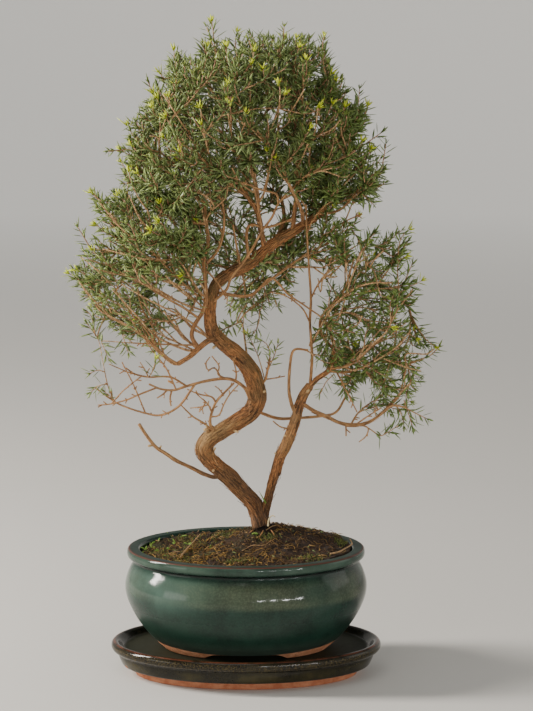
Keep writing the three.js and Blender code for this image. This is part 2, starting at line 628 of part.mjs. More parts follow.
// A twig's way to its tip that keeps its leaves clear of everything placed before it. The shoot
// starts close to the limb where it can. Its first leaves come a little way up the stem.
function freeWay(limb, along, [across, up, depth], placed, owner) {
	for (const shift of DEPTH_SHIFTS) {
		const twig = twigCurve(limb, along, alongSight([across, up, depth + shift]));
		for (const share of BARE_SHARES) {
			const bare = Math.max(share, LEAST_BARE / twig.getLength());
			const leafyFrom = THREE.MathUtils.lerp(bare, 1, FIRST_LEAVES);
			const points = [0, 0.5, 1].map((t) => twig.getPoint(t * bare));
			const leafy = [0, 0.25, 0.5, 0.75, 1].map((t) => twig.getPoint(THREE.MathUtils.lerp(leafyFrom, 1, t)));
			const stemGuard = capsules([...points, leafy[0]], Array(4).fill(TWIG_WIDTHS[0] / 2), owner);
			const leafGuard = capsules(leafy, Array(5).fill(LEAFY_REACH), owner);
			if (clashes(leafGuard, placed, []) || clashes(stemGuard.slice(1), placed, [owner.limb])) continue;
			return { twig, bare, points, guards: [...stemGuard, ...leafGuard] };
		}
	}
	return null;
}

// Places every twig and spray. A twig whose way is blocked is moved along its sight line, a little
// at a time, so that the tree keeps its outline from the front.
function growTree() {
	const limbs = layOutLimbs();
	const random = seededRandom(20);
	const placed = [];
	const wood = [];
	for (const [name, limb] of limbs) {
		wood.push(solid(tubeGeometry(limb.points, limb.widths, limb.sides)));
		placed.push(...capsules(limb.points, limb.widths.map((width) => width / 2), name));
	}
	const sprays = [];
	const blocked = [];
	for (const [name, along, [across, up, depth]] of SPRAYS) {
		const owner = { index: sprays.length + blocked.length, limb: name };
		const found = freeWay(limbs.get(name), along, [across, up, depth], placed, owner);
		if (!found) {
			blocked.push(`spray ${owner.index + 1} on ${name}`);
			continue;
		}
		placed.push(...found.guards);
		wood.push(solid(tubeGeometry(found.points, TWIG_WIDTHS, 3)));
		sprays.push({ ...found, owner });
	}
	if (blocked.length) throw new Error(`no free way for ${blocked.join(', ')}`);
	const foliage = sprays.map(({ twig, bare, owner }) => growSpray(twig, bare, placed, owner, random));
	return { wood: geometryOf(wasm.Manifold.union([...wood, footSolid()])), foliage };
}

// The root flare: a plug in the soil's hole that narrows into both stems.
function footSolid() {
	const { x, y, bottom, soil, neck, radius, neckRadius } = FOOT;
	const run = [[bottom, radius], [soil, radius], [soil + 6, radius - 1.8], [neck, neckRadius]];
	const points = run.map(([height]) => new THREE.Vector3(x - 0.12 * (height - bottom), y, height));
	points[1].x = x;
	points[0].x = x;
	return solid(tubeGeometry(points, run.map(([, r]) => 2 * r), 10));
}

const clay = (color, roughness) => new THREE.MeshStandardMaterial({ color, roughness, metalness: 0 });
const materials = {
	saucer: clay(0x3a2a12, 0.2),
	pot: clay(0x1f3a2c, 0.15),
	screen: clay(0x202322, 0.6),
	soil: clay(0x4a3826, 0.95),
	wood: clay(0x8a5f3c, 0.85),
	leaf: clay(0x5c7a45, 0.55),
};

function mesh(name, geometry, material, x = 0, y = 0, z = 0) {
	const made = new THREE.Mesh(closed(geometry), material);
	made.name = name;
	made.position.set(x, y, z);
	return made;
}

const group = new THREE.Group();
group.add(mesh('saucer', saucerGeometry(), materials.saucer));
group.add(mesh('pot', potGeometry(), materials.pot));
const screenRest = POT_FLOOR_TOP + SEAT_GAP + SCREEN.thickness / 2;
group.add(mesh('drain_screen_left', screenGeometry(), materials.screen, -DRAIN_HOLE_X, 0, screenRest));
group.add(mesh('drain_screen_right', screenGeometry(), materials.screen, DRAIN_HOLE_X, 0, screenRest));
group.add(mesh('soil', soilGeometry(), materials.soil));
const tree = growTree();
group.add(mesh('tree_wood', tree.wood, materials.wood));
tree.foliage.forEach((geometry, i) => {
	group.add(mesh(`spray_${String(i + 1).padStart(2, '0')}`, geometry, materials.leaf));
});

// The part's origin lies under the middle of its box.
const box = new THREE.Box3().setFromObject(group, true);
const middle = box.getCenter(new THREE.Vector3());
group.position.set(-middle.x, -middle.y, -box.min.z);

export default group;
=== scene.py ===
# %% [markdown]
# # A manuka bonsai in a glazed pot
#
# The real object is a small two-stemmed manuka tree in an oval glazed pot on an oval glazed
# saucer. Its solids are already made and carry its size. This script loads them as a fixed frame
# and dresses them: it gives the clay, the soil, the bark and the leaves their fine shape and
# their finishes. Everything is in metres, with Z up and the viewer on the side of -Y.

# %% Load the frame
import math
from collections import defaultdict

import bpy
import numpy as np
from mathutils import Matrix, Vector, noise


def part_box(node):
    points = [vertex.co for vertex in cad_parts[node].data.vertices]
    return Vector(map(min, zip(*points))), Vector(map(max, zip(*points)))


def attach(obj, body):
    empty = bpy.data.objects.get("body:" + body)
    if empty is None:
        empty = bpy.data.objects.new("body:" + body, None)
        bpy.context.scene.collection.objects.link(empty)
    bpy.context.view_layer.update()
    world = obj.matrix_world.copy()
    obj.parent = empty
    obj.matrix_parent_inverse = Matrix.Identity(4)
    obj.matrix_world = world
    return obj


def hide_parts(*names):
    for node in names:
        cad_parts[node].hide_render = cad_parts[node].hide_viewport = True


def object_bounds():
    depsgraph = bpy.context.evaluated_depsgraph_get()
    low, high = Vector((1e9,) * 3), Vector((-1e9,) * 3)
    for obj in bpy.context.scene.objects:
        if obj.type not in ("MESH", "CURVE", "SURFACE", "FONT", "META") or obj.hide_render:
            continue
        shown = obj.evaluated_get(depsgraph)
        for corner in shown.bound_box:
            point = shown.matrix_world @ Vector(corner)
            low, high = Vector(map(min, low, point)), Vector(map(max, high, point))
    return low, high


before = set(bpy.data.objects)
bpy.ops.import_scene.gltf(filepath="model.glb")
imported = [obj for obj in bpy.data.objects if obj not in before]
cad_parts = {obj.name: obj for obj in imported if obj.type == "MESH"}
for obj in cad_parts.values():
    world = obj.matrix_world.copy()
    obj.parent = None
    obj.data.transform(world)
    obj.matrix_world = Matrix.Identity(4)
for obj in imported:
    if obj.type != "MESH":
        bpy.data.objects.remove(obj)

solid_box = [list(corner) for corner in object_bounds()]
print("frame:", len(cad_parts), "nodes, box", solid_box)

# %% [markdown]
# ## Drawing numbers
#
# The tree is easiest to set down as it is seen from the front: how far across, how far up and
# how deep, in whole millimetres. The drawing's middle is the middle of the saucer, so the
# saucer's solid says where the drawing lies in the frame. A drawn point slides along its sight
# line to its depth, so the tree keeps its outline from the front whatever the depth.

# %% From the drawing to the frame
saucer_low, saucer_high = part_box("saucer")
MIDDLE = np.array([(saucer_low[0] + saucer_high[0]) / 2, (saucer_low[1] + saucer_high[1]) / 2, 0.0])
EYE = np.array([20.5, -2300.0, 668.0])
EYE_TILT = math.radians(8.56)
DRAWING_CENTRE = np.array([20.5, 28.8, 317.4])
DRAWING_CENTRE_UP = 318.5
MM = 0.001


def framed(points):
    """Millimetres of the drawing's own space as metres of the frame."""
    return np.asarray(points, dtype=float) * MM + MIDDLE


def placed(name, data):
    """A new object in the scene."""
    made = bpy.data.objects.new(name, data)
    bpy.context.scene.collection.objects.link(made)
    return made


def along_sight(across, up, depth):
    """A drawn point carried along its sight line to a depth, in millimetres."""
    rise = up - DRAWING_CENTRE_UP
    drawn = np.array([
        across,
        DRAWING_CENTRE[1] + rise * math.sin(EYE_TILT),
        DRAWING_CENTRE[2] + rise * math.cos(EYE_TILT),
    ])
    ray = drawn - EYE
    return EYE + ray * (depth - EYE[1]) / ray[1]


print("middle of the drawing:", MIDDLE.round(5).tolist())

# %% [markdown]
# ## Meshes from arrays
#
# Nearly every piece here is many small parts of one kind: leaves, twigs, grains, threads. The
# quickest way to make thousands of them is to work out their corners as arrays and hand them
# over in one go. A heap gathers corners, faces and named numbers on the corners, which the
# finishes read later, and then becomes one piece that rides on the tree's only body.

# %% A heap of small parts that becomes one piece
class Heap:
    """Corners, faces and corner numbers that become one mesh piece."""

    def __init__(self):
        self.corners = []
        self.faces = []
        self.numbers = {}
        self.count = 0

    def add(self, corners, faces, **numbers):
        corners = np.asarray(corners, dtype=float).reshape(-1, 3)
        for face in faces:
            self.faces.append([corner + self.count for corner in face])
        self.corners.append(corners)
        for name, value in numbers.items():
            value = np.asarray(value, dtype=float)
            if value.ndim == 0:
                value = np.full(len(corners), float(value))
            self.numbers.setdefault(name, []).append(value)
        self.count += len(corners)

    def mesh(self, name):
        made = bpy.data.meshes.new(name)
        made.from_pydata(framed(np.vstack(self.corners)).tolist(), [], self.faces)
        for number, values in self.numbers.items():
            values = np.concatenate(values)
            kind = "FLOAT_VECTOR" if values.ndim == 2 else "FLOAT"
            layer = made.attributes.new(number, kind, "POINT")
            layer.data.foreach_set("vector" if values.ndim == 2 else "value", values.ravel())
        made.validate()
        return made

    def piece(self, name, finish, slot, smooth=True):
        return settle(self.mesh(name), finish, smooth)


def settle(mesh, finish, smooth=True):
    """Puts a mesh into the scene as a piece of the tree's body."""
    made = placed(mesh.name, mesh)
    mesh.materials.clear()
    mesh.materials.append(finish)
    mesh.shade_smooth() if smooth else mesh.shade_flat()
    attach(made, "root")
    triangles = sum(len(face.vertices) - 2 for face in mesh.polygons)
    print(f"{mesh.name}: {len(mesh.vertices)} corners, {triangles} triangles")
    return made

# %% [markdown]
# ## Finishes as sums
#
# A finish here is an expression: a mask times a colour plus some noise. One small class wraps a
# node's socket and takes part in Python sums, so that `1 - mask` adds a Math node. Colours and
# vectors go through Mix and Vector Math nodes, because a Math node would turn them grey. Every
# other node comes from one method that is told its settings first and its sockets second.

# %% One socket that can be used in sums
class Wire:
    """A shader socket that can be used in plain Python sums."""

    def __init__(self, tree, socket=None):
        self.tree = tree
        self.socket = socket

    def node(self, kind, settings=None, sockets=None, output=0):
        """Any node: its settings first, then the values or links of its sockets."""
        made = self.tree.nodes.new("ShaderNode" + kind)
        for name, value in (settings or {}).items():
            setattr(made, name, value)
        for name, value in (sockets or {}).items():
            if isinstance(value, Wire):
                self.tree.links.new(value.socket, made.inputs[name])
            else:
                made.inputs[name].default_value = value
        return Wire(self.tree, made.outputs[output] if made.outputs else None)

    def sum(self, operation, *terms):
        """A Math node, or a Vector Math node where a term is a vector."""
        wires = [term for term in terms if isinstance(term, Wire)]
        if all(wire.socket.type == "VALUE" for wire in wires):
            return self.node("Math", {"operation": operation}, dict(enumerate(terms)))
        spread = [term if isinstance(term, (Wire, tuple)) else (term,) * 3 for term in terms]
        return self.node("VectorMath", {"operation": operation}, dict(enumerate(spread)))

    def __add__(self, other):
        return self.sum("ADD", self, other)

    __radd__ = __add__

    def __mul__(self, other):
        return self.sum("MULTIPLY", self, other)

    __rmul__ = __mul__

    def __sub__(self, other):
        return self.sum("SUBTRACT", self, other)

    def __rsub__(self, other):
        return self.sum("SUBTRACT", other, self)

    def most(self, other):
        return self.sum("MAXIMUM", self, other)

    def over(self, low, high):
        """0 below low, 1 above high, and smooth between them."""
        settings = {"interpolation_type": "SMOOTHSTEP"}
        return self.node("MapRange", settings, {"Value": self, "From Min": low, "From Max": high})

    def mix(self, *colours):
        """One colour turning into another as this value goes from 0 to 1. Each is a wire or a
        screen colour."""
        first, second = [paint(*each) if isinstance(each, tuple) else each for each in colours]
        sockets = {0: self, 6: first, 7: second}
        return self.node("Mix", {"data_type": "RGBA"}, sockets, output=2)

    def grain(self, scale, detail=3.0, rough=0.5, warp=0.0):
        """Noise at this place."""
        sockets = {"Vector": self, "Scale": scale, "Detail": detail, "Roughness": rough}
        return self.node("TexNoise", None, {**sockets, "Distortion": warp})

    def part(self, axis):
        """One part of a vector: 0, 1 or 2."""
        return self.node("SeparateXYZ", None, {0: self}, output=axis)

    def length(self):
        """How long a vector is."""
        return self.node("VectorMath", {"operation": "LENGTH"}, {0: self}, output=1)

    def named(self, name, output=2):
        """A number that the corners carry, or with output 1 a vector."""
        return self.node("Attribute", {"attribute_name": name}, None, output)


def paint(red, green, blue):
    """A screen colour, 0 to 255, as the linear colour that a shader works in."""
    shades = [value / 255 for value in (red, green, blue)]
    linear = [s / 12.92 if s <= 0.04045 else ((s + 0.055) / 1.055) ** 2.4 for s in shades]
    return (*linear, 1.0)


def new_finish(name):
    """A bare material, a wire to start its sums from, and the place from the saucer's middle."""
    finish = bpy.data.materials.new(name)
    finish.use_nodes = True
    finish.node_tree.nodes.clear()
    wire = Wire(finish.node_tree)
    return finish, wire, wire.node("TexCoord", None, None, output=3) - tuple(MIDDLE)


def coated(colour, *coats):
    """A colour under more coats, each a mask and what it lets through."""
    for mask, coat in coats:
        colour = mask.mix(colour, coat)
    return colour


def close_finish(wire, colour, roughness, height=None, relief=0.0, distance=0.001, **constants):
    """Ends a finish in its surface shader, with a bump where there is a height."""
    sockets = {"Base Color": colour, "Roughness": roughness}
    sockets.update(constants)
    if height is not None:
        bump = {"Height": height, "Strength": relief, "Distance": distance}
        sockets["Normal"] = wire.node("Bump", None, bump)
    surface = wire.node("BsdfPrincipled", None, sockets)
    wire.node("OutputMaterial", None, {"Surface": surface})


print("helpers ready")

# %% [markdown]
# ## Camera, floor and light
#
# The photograph was taken from a little above the crown's middle, far off, so the lens is long.
# The studio is plain: a wide round floor that runs up into a pale wall all round, so the object
# stands before the same pale ground from every side. The far floor and the wall glow faintly, as
# if they had their own lamps. The lights are a tall soft one at the left, a dim one at the front
# left, a wide one high in front, a weak fill at the right, and a row of four little lights at the
# front right, which the glaze shows as a broken bright line.

# %% Camera
camera_data = bpy.data.cameras.new("front_camera")
camera_data.lens = 119.24
camera_data.sensor_width = 36.0
camera_data.clip_end = 50.0
camera = placed("front_camera", camera_data)
camera.location = framed(EYE)
camera.rotation_euler = (math.pi / 2 - EYE_TILT, 0.0, 0.0)
bpy.context.scene.camera = camera
print("camera at", [round(value, 4) for value in camera.location])

# %% Floor and wall
FLOOR_RADIUS, BEND, BEND_STEPS, WALL_TOP = 5.2, 1.0, 16, 3.6
GLOW_START, GLOW_RUN = 1.0, 4.0
TURNS = 96
sweep = [(radius, 0.0) for radius in (0.01, 1.0, 2.0, 3.0, 4.0, FLOOR_RADIUS)]
for step in range(1, BEND_STEPS + 1):
    turn = math.pi / 2 * step / BEND_STEPS
    sweep.append((FLOOR_RADIUS + BEND * math.sin(turn), BEND - BEND * math.cos(turn)))
sweep.append((FLOOR_RADIUS + BEND, WALL_TOP))
floor_corners, floor_glow = [], []
for radius, up in sweep:
    for step in range(TURNS):
        turn = 2 * math.pi * step / TURNS
        floor_corners.append((radius * math.cos(turn), radius * math.sin(turn), up))
        floor_glow.append(min(max((radius - GLOW_START) / GLOW_RUN, 0.0), 1.0))
floor_faces = []
for ring in range(len(sweep) - 1):
    for step in range(TURNS):
        here, after = ring * TURNS + step, ring * TURNS + (step + 1) % TURNS
        floor_faces.append((here, here + TURNS, after + TURNS, after))
floor_mesh = bpy.data.meshes.new("studio_floor")
floor_mesh.from_pydata(floor_corners, [], floor_faces)
floor_mesh.attributes.new("glow", "FLOAT", "POINT").data.foreach_set("value", floor_glow)
floor_mesh.shade_smooth()
studio, wire, _ = new_finish("studio_paper")
glow = wire.named("glow").mix((0, 0, 0), (146, 145, 142))
lamps = {"Emission Color": glow, "Emission Strength": 1.0}
close_finish(wire, paint(214, 212, 208), 0.85, **lamps)
floor_mesh.materials.append(studio)
floor = placed("studio_floor", floor_mesh)
print("a round floor", round(2 * FLOOR_RADIUS, 1), "m wide")


# %% Lights
def soft_light(name, place, aim_height, width, height, watts, warmth=(1.0, 1.0, 1.0)):
    """A rectangular soft light that looks at a height over the frame's middle."""
    data = bpy.data.lights.new(name, "AREA")
    data.shape = "RECTANGLE"
    data.size = width
    data.size_y = height
    data.energy = watts
    data.color = warmth
    made = placed(name, data)
    made.location = place
    towards = Vector((0.0, 0.0, aim_height)) - Vector(place)
    made.rotation_euler = towards.to_track_quat("-Z", "Y").to_euler()


ROW_DISTANCE, ROW_HEIGHT = 2.1, 0.45
soft_light("key_light", (-2.1, -0.05, 1.35), 0.35, 0.36, 1.3, 100, (1.0, 0.94, 0.86))
soft_light("front_light", (-1.7, -1.05, 0.34), 0.2, 0.8, 0.56, 4, (1.0, 0.97, 0.92))
soft_light("high_light", (-0.5, -1.5, 2.4), 0.4, 1.4, 1.0, 8, (1.0, 0.96, 0.9))
soft_light("fill_light", (2.1, 0.05, 1.0), 0.3, 1.2, 1.0, 3.5, (1.0, 0.98, 0.94))
for degrees in (10, 20.5, 30.5, 41):
    turn = math.radians(degrees)
    place = (ROW_DISTANCE * math.sin(turn), -ROW_DISTANCE * math.cos(turn), ROW_HEIGHT)
    soft_light(f"strip_light_{degrees:.0f}", place, 0.2, 0.14, 0.08, 3.0)
world = bpy.data.worlds.new("studio_air")
world.use_nodes = True
world.node_tree.nodes["Background"].inputs["Color"].default_value = (0.95, 0.94, 0.9, 1.0)
world.node_tree.nodes["Background"].inputs["Strength"].default_value = 0.25
bpy.context.scene.world = world
print("eight lights and the air")

# %% [markdown]
# ## The oval clay bodies
#
# Pot and saucer were thrown round and pressed oval, so every ring of theirs is an oval whose
# depth is shorter by the same amount all the way up. A ring is described by its half length and
# its height. The short list of rings is given where the clay turns, and two rounds of corner
# cutting soften it the way glaze and a wet sponge do.

# %% Oval rings
def softened(profile, rounds=2, closest=0.7):
    """Cuts the corners of a run of points, keeping both ends and no points nearer than this."""
    points = [np.array(point, dtype=float) for point in profile]
    for _ in range(rounds):
        cut = [points[0]]
        for here, there in zip(points[:-1], points[1:]):
            cut.append(0.75 * here + 0.25 * there)
            cut.append(0.25 * here + 0.75 * there)
        points = cut + [points[-1]]
    kept = [points[0]]
    for point in points[1:-1]:
        if math.dist(point, kept[-1]) > closest:
            kept.append(point)
    return kept + [points[-1]]


def tube_faces(rings, sides):
    """The faces of a closed tube: a fan at each end and squares between."""
    faces = []
    last = rings * sides
    for k in range(sides):
        after = (k + 1) % sides
        faces.append((last, after, k))
        faces.append((last + 1, last - sides + k, last - sides + after))
        for ring in range(rings - 1):
            low = ring * sides
            faces.append((low + k, low + after, low + sides + after, low + sides + k))
    return faces


def oval_body(name, rings, shorter, segments, bottom_rings=8, top_rings=8):
    """A closed body from rings of half length and height, filled at both ends."""
    turn = np.linspace(0, 2 * np.pi, segments, endpoint=False)
    levels = []
    for part in np.linspace(0, 1, bottom_rings, endpoint=False)[1:]:
        levels.append((rings[0][0], rings[0][1], part))
    levels += [(length, height, 1.0) for length, height in rings]
    for part in np.linspace(1, 0, top_rings, endpoint=False)[1:]:
        levels.append((rings[-1][0], rings[-1][1], part))
    corners = []
    for length, height, part in levels:
        across = part * length * np.cos(turn)
        deep = part * (length - shorter) * np.sin(turn)
        corners.append(np.stack([across, deep, np.full(segments, height)], axis=1))
    corners.append([(0, 0, rings[0][1]), (0, 0, rings[-1][1])])
    heap = Heap()
    heap.add(np.vstack(corners), tube_faces(len(levels), segments))
    return heap.mesh(name)


# %% Cutting shapes out
def carved(mesh, cutters):
    """Cuts solid shapes out of a mesh and gives back the result."""
    body = placed(mesh.name, mesh)
    helpers = [body]
    for cutter in cutters:
        helper = placed("cutter", cutter)
        helpers.append(helper)
        cut = body.modifiers.new("cut", "BOOLEAN")
        cut.operation = "DIFFERENCE"
        cut.solver = "EXACT"
        cut.object = helper
    bpy.context.view_layer.update()
    shaped = body.evaluated_get(bpy.context.evaluated_depsgraph_get())
    result = bpy.data.meshes.new_from_object(shaped)
    result.name = mesh.name
    for helper in helpers:
        bpy.data.objects.remove(helper)
    return result


def bar(start, end):
    """A straight bar between two outlines that face the same way, as a cutter."""
    count = len(start)
    faces = [tuple(range(count - 1, -1, -1)), tuple(range(count, 2 * count))]
    faces += [(k, (k + 1) % count, count + (k + 1) % count, count + k) for k in range(count)]
    heap = Heap()
    heap.add([*start, *end], faces)
    return heap.mesh("cutter")


def level_bar(outline, length, turned=False):
    """A bar along the depth, or along the length when turned, with an outline of x and z."""
    ends = (-length / 2, length / 2)
    return bar(*[[(end, -x, z) if turned else (x, end, z) for x, z in outline] for end in ends])


def upright_bar(x, radius, low, high, sides=40):
    """A round bar that stands upright."""
    turn = np.linspace(0, 2 * np.pi, sides, endpoint=False)
    ring = np.stack([x + radius * np.cos(turn), radius * np.sin(turn)], axis=1)
    return bar(*[[(*place, height) for place in ring] for height in (low, high)])

# %% [markdown]
# ## The saucer's form
#
# The saucer is an oval dish with a bare foot band below, a glazed band that leans out, a groove,
# and a rounded lip above. Its floor is flat where the pot stands, and it is hollow underneath.

# %% Saucer mesh
SAUCER_LENGTH, SAUCER_DEPTH = 135.5, 90.0
edge = SAUCER_LENGTH
saucer_rings = softened([
    (edge - 40, 20), (edge - 38, 19.5), (edge - 35, 17), (edge - 33, 13), (edge - 32, 2),
    (edge - 31.5, 0.1), (edge - 28, 0), (edge - 24.5, 0), (edge - 23.7, 0.8), (edge - 22.5, 7.2),
    (edge - 20, 8.2), (edge - 14, 9.2), (edge - 11.4, 9.8), (edge - 10.4, 11), (edge - 7.3, 18),
    (edge - 6.6, 21.4), (edge - 6.4, 22.4), (edge - 3.4, 23.6), (edge - 0.9, 25.6),
    (edge + 0.2, 28.6), (edge - 0.4, 31.6), (edge - 2.2, 33.6), (edge - 4.2, 34.1),
    (edge - 6.6, 33.3), (edge - 9, 30.6), (edge - 11.4, 28.0), (edge - 14, 27.0), (edge - 18, 26.9),
    (edge - 30, 26.9),
])
saucer_mesh = oval_body("saucer_body", saucer_rings, SAUCER_LENGTH - SAUCER_DEPTH, 160)
print("saucer rings:", len(saucer_rings))

# %% [markdown]
# ## The pot's form
#
# The pot has a rolled lip that is flat on top, a tight neck, a full belly and a narrow foot ring.
# Arches cut the ring into four feet. The arches are bars with rounded corners, cut out of the
# turned body, and so are the two drain holes.

# %% Pot mesh
RIM_LENGTH, RIM_DEPTH = 118.5, 92.8
UNDERSIDE, FOOT_HEIGHT = 33.5, 27.3
HOLE_RADIUS, HOLE_PLACE = 10.0, 42.0
outside = [
    (52, 33.5), (47.5, 33.2), (46.3, 31.5), (45.8, 27.8), (44.8, 27.3), (37, 27.3), (35.9, 27.8),
    (33.2, 30.4), (29.6, 33.6), (28.2, 35.4), (22, 41), (15.5, 49), (9, 58), (3, 69.5),
    (-1, 79), (-2.7, 88), (-2.3, 95), (-0.4, 102), (2.2, 108.5), (5, 113.2), (6.2, 115.6),
    (6.2, 117.3), (4.2, 118.4), (1.4, 119.6), (-0.2, 121.6), (-0.5, 124.5), (0, 127.2),
    (1.4, 128.8), (3.2, 129.1), (7, 129), (10.6, 128.8), (12.8, 127.4), (13.4, 124), (13, 115),
    (11.4, 108), (9, 92), (11, 74), (20, 54), (27, 44.5), (33, 41.4), (40, 41), (55, 41),
]
pot_rings = softened([(RIM_LENGTH - step, height) for step, height in outside])
pot_mesh = oval_body("pot_body", pot_rings, RIM_LENGTH - RIM_DEPTH, 144)


def arch(top, bottom):
    """The outline of a foot arch, a little rounded under the pot."""
    high, low = UNDERSIDE + 0.1, FOOT_HEIGHT - 3
    half = softened([(0, high), (top / 2 - 8, high), (top / 2, high - 0.8), (bottom / 2, low)])
    return [(-x, z) for x, z in half[::-1]] + [(x, z) for x, z in half[1:]]


pot_mesh = carved(pot_mesh, [
    level_bar(arch(68, 90), 260),
    level_bar(arch(26, 44), 320, turned=True),
    upright_bar(-HOLE_PLACE, HOLE_RADIUS, 30, 45),
    upright_bar(HOLE_PLACE, HOLE_RADIUS, 30, 45),
])
print("pot faces after the cuts:", len(pot_mesh.polygons))

# %% [markdown]
# ## Glaze and bare clay
#
# Both bodies are orange clay under a thick shiny glaze. A glaze runs: it is thin and rust-brown
# where it flows off an edge, deep where it pools, and it stops short of the foot in a wavy line.
# The masks are worked out from the place on the body: its height and how near it is to the rim.

# %% Masks by place
def oval_reach(place, length, depth):
    """0 in the middle and 1 on an oval of these half sizes in millimetres."""
    return (place * (1000 / length, 1000 / depth, 0.0)).length()


def band(value, low, high, soft):
    """1 between low and high, with soft ends."""
    return value.over(low - soft, low + soft) * (1 - value.over(high - soft, high + soft))


def spot(place, x, y, z, radius):
    """1 inside a ball, in millimetres."""
    away = (place - (x * MM, y * MM, z * MM)).length()
    return 1 - away.over(radius * MM * 0.7, radius * MM)


def close_glaze(wire, bare, glaze, clay, shine, grit, dimples, relief):
    """Ends the finish of a glazed body: bare clay is dull and gritty, glaze shiny and dimpled."""
    colour = bare.mix(glaze, clay)
    roughness = bare * (0.85 - shine) + shine
    height = bare * (grit * 0.35 - dimples) + dimples
    close_finish(wire, colour, roughness, height, relief, 0.0015, **{"Specular IOR Level": 0.3})


print("masks ready")

# %% [markdown]
# ## The pot's glaze
#
# The pot is a deep bottle green with a paler speckled bloom on the shoulder, which is part glaze
# mottling and part painted reflection, and a painted sheen on the left of the shoulder. The lip's
# outer face has painted highlights, the groove under the lip is nearly black, the glaze is painted
# lighter and greyer just above the feet as fill light in the shade there, and a hair of rust runs
# along the lip's outer edge.

# %% Pot finish
pot_glaze, wire, place = new_finish("pot_glaze")
height = place.part(2) * 1000
rim = oval_reach(place, RIM_LENGTH, RIM_DEPTH)
cloud = place.grain(22.0, 4.0, 0.55).over(0.36, 0.66)
speckle = place.grain(520.0, 4.0, 0.65).over(0.38, 0.7)
streaks = (place * (1.0, 1.0, 0.2)).grain(80.0, 4.0, 0.6, 0.4).over(0.35, 0.7)
# painted sheen: this mask is the left of the pot, where a paler coat on the shoulder stands in for the
# key light's sheen, and where the bloom is kept fainter
left = 1 - place.part(0).over(-0.105, 0.02)
shoulder = height.over(70, 98) * (1 - height.over(109, 116))
# the bloom is part glaze mottling and part painted reflection of the pale studio on the shoulder
bloom_and_reflection = height.over(84, 91) * (1 - height.over(106, 116)) * place.grain(14.0, 2.0).over(0.25, 0.55)
# painted fill light: the glaze is lightened to a grey green above the feet, where the shade falls
painted_foot_fill = 1 - height.over(34, 52)
neck = band(height, 116.2, 119.6, 1.3)
# painted highlight: paler teal streaks on the lip's outer face
lip_side_highlight = height.over(119.5, 123.0) * rim.over(0.97, 0.99)
lip_top = height.over(127.6, 128.9) * rim.over(0.885, 0.915)
rust_line = band(height, 127.9, 128.9, 0.35) * rim.over(0.968, 0.98)
rust_line = rust_line * place.grain(120.0, 3.0).over(0.2, 0.45)
green = coated(
    cloud.mix((11, 28, 22), (20, 44, 35)),
    (streaks * 0.3, (36, 66, 54)),
    (speckle * 0.18, (62, 92, 78)),
    # painted sheen on the left of the shoulder
    (shoulder * left * (cloud * 0.4 + 0.3), (80, 104, 95)),
    (bloom_and_reflection * (1 - left * 0.6) * (speckle * 0.25 + 0.32), (98, 104, 80)),
    (painted_foot_fill * 0.8, (62, 73, 64)),
    (neck, (5, 15, 13)),
    (lip_side_highlight * (cloud * 0.3 + 0.2), (80, 100, 86)),
    (lip_top * 0.7, (24, 44, 36)),
    (rust_line * 0.8, (88, 44, 35)),
)
waver = place.grain(48.0, 3.0) * 1.6 + place.grain(260.0, 2.0) * 0.7
rise = place.part(0) * place.part(0) * 520
bare = 1 - (height - waver * 0.6 - rise).over(32.2, 33.0)
clay = place.grain(140.0, 5.0, 0.6).over(0.3, 0.7).mix((200, 132, 94), (236, 170, 130))
clay = place.grain(900.0, 2.0).over(0.62, 0.72).mix(clay, (112, 58, 38))
shine = place.grain(180.0, 2.0) * 0.08 + 0.05 + lip_top * 0.45 + (1 - height.over(58, 88)) * 0.3
dimples = place.grain(34.0, 2.0) * 0.8 + place.grain(1500.0, 2.0) * 0.04
close_glaze(wire, bare, green, clay, shine, place.grain(1200.0, 3.0), dimples, 0.35)
pot = settle(pot_mesh, pot_glaze)
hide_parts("pot")

# %% [markdown]
# ## The saucer's glaze
#
# The saucer has a brown-black glaze with olive in it, thin and red-brown along the lip. The foot
# band and the hollow underneath are bare clay, and one small chip of clay shows at the left where
# the glaze never took.

# %% Saucer finish
saucer_glaze, wire, place = new_finish("saucer_glaze")
height = place.part(2) * 1000
reach = oval_reach(place, SAUCER_LENGTH, SAUCER_DEPTH)
cloud = place.grain(34.0, 4.0, 0.6).over(0.35, 0.68)
speckle = place.grain(760.0, 3.0, 0.6).over(0.45, 0.75)
bead = band(height, 23.5, 31.5, 1.5) * reach.over(0.96, 0.98)
lip = height.over(32.4, 33.7) * reach.over(0.962, 0.975) * (1 - reach.over(0.985, 0.992))
rust = lip * place.grain(90.0, 4.0).over(0.25, 0.6)
groove = band(height, 21.6, 23.6, 0.8) * reach.over(0.93, 0.945)
olive = band(height, 11.0, 20.0, 3.0) * place.grain(42.0, 4.0, 0.6).over(0.36, 0.74)
dish = height.over(25.5, 26.5) * (1 - reach.over(0.88, 0.92))
brown = coated(
    cloud.mix((16, 14, 9), (34, 31, 18)),
    (speckle * 0.3, (66, 62, 38)),
    (bead * speckle * 0.7, (104, 88, 52)),
    (rust * 0.7, (108, 60, 42)),
    (groove * 0.8, (16, 14, 10)),
    (olive * 0.4, (80, 73, 42)),
    (dish * 0.7, (34, 38, 20)),
)
foot = 1 - (height - place.grain(60.0, 3.0) * 1.2).over(6.6, 7.2)
hollow = (1 - oval_reach(place, 103.8, 58.3).over(0.99, 1.0)) * (1 - height.over(22.5, 23.0))
chip = spot(place, -118.5, -24, 10.5, 3.6) * place.grain(500.0, 2.0).over(0.36, 0.46)
bare = foot.most(hollow).most(chip)
clay = place.grain(120.0, 5.0, 0.6).over(0.3, 0.7).mix((160, 94, 65), (188, 127, 93))
shine = place.grain(150.0, 2.0) * 0.12 + 0.07 + dish * 0.6
dimples = place.grain(46.0, 2.0) * 0.7 + place.grain(1300.0, 2.0) * 0.05
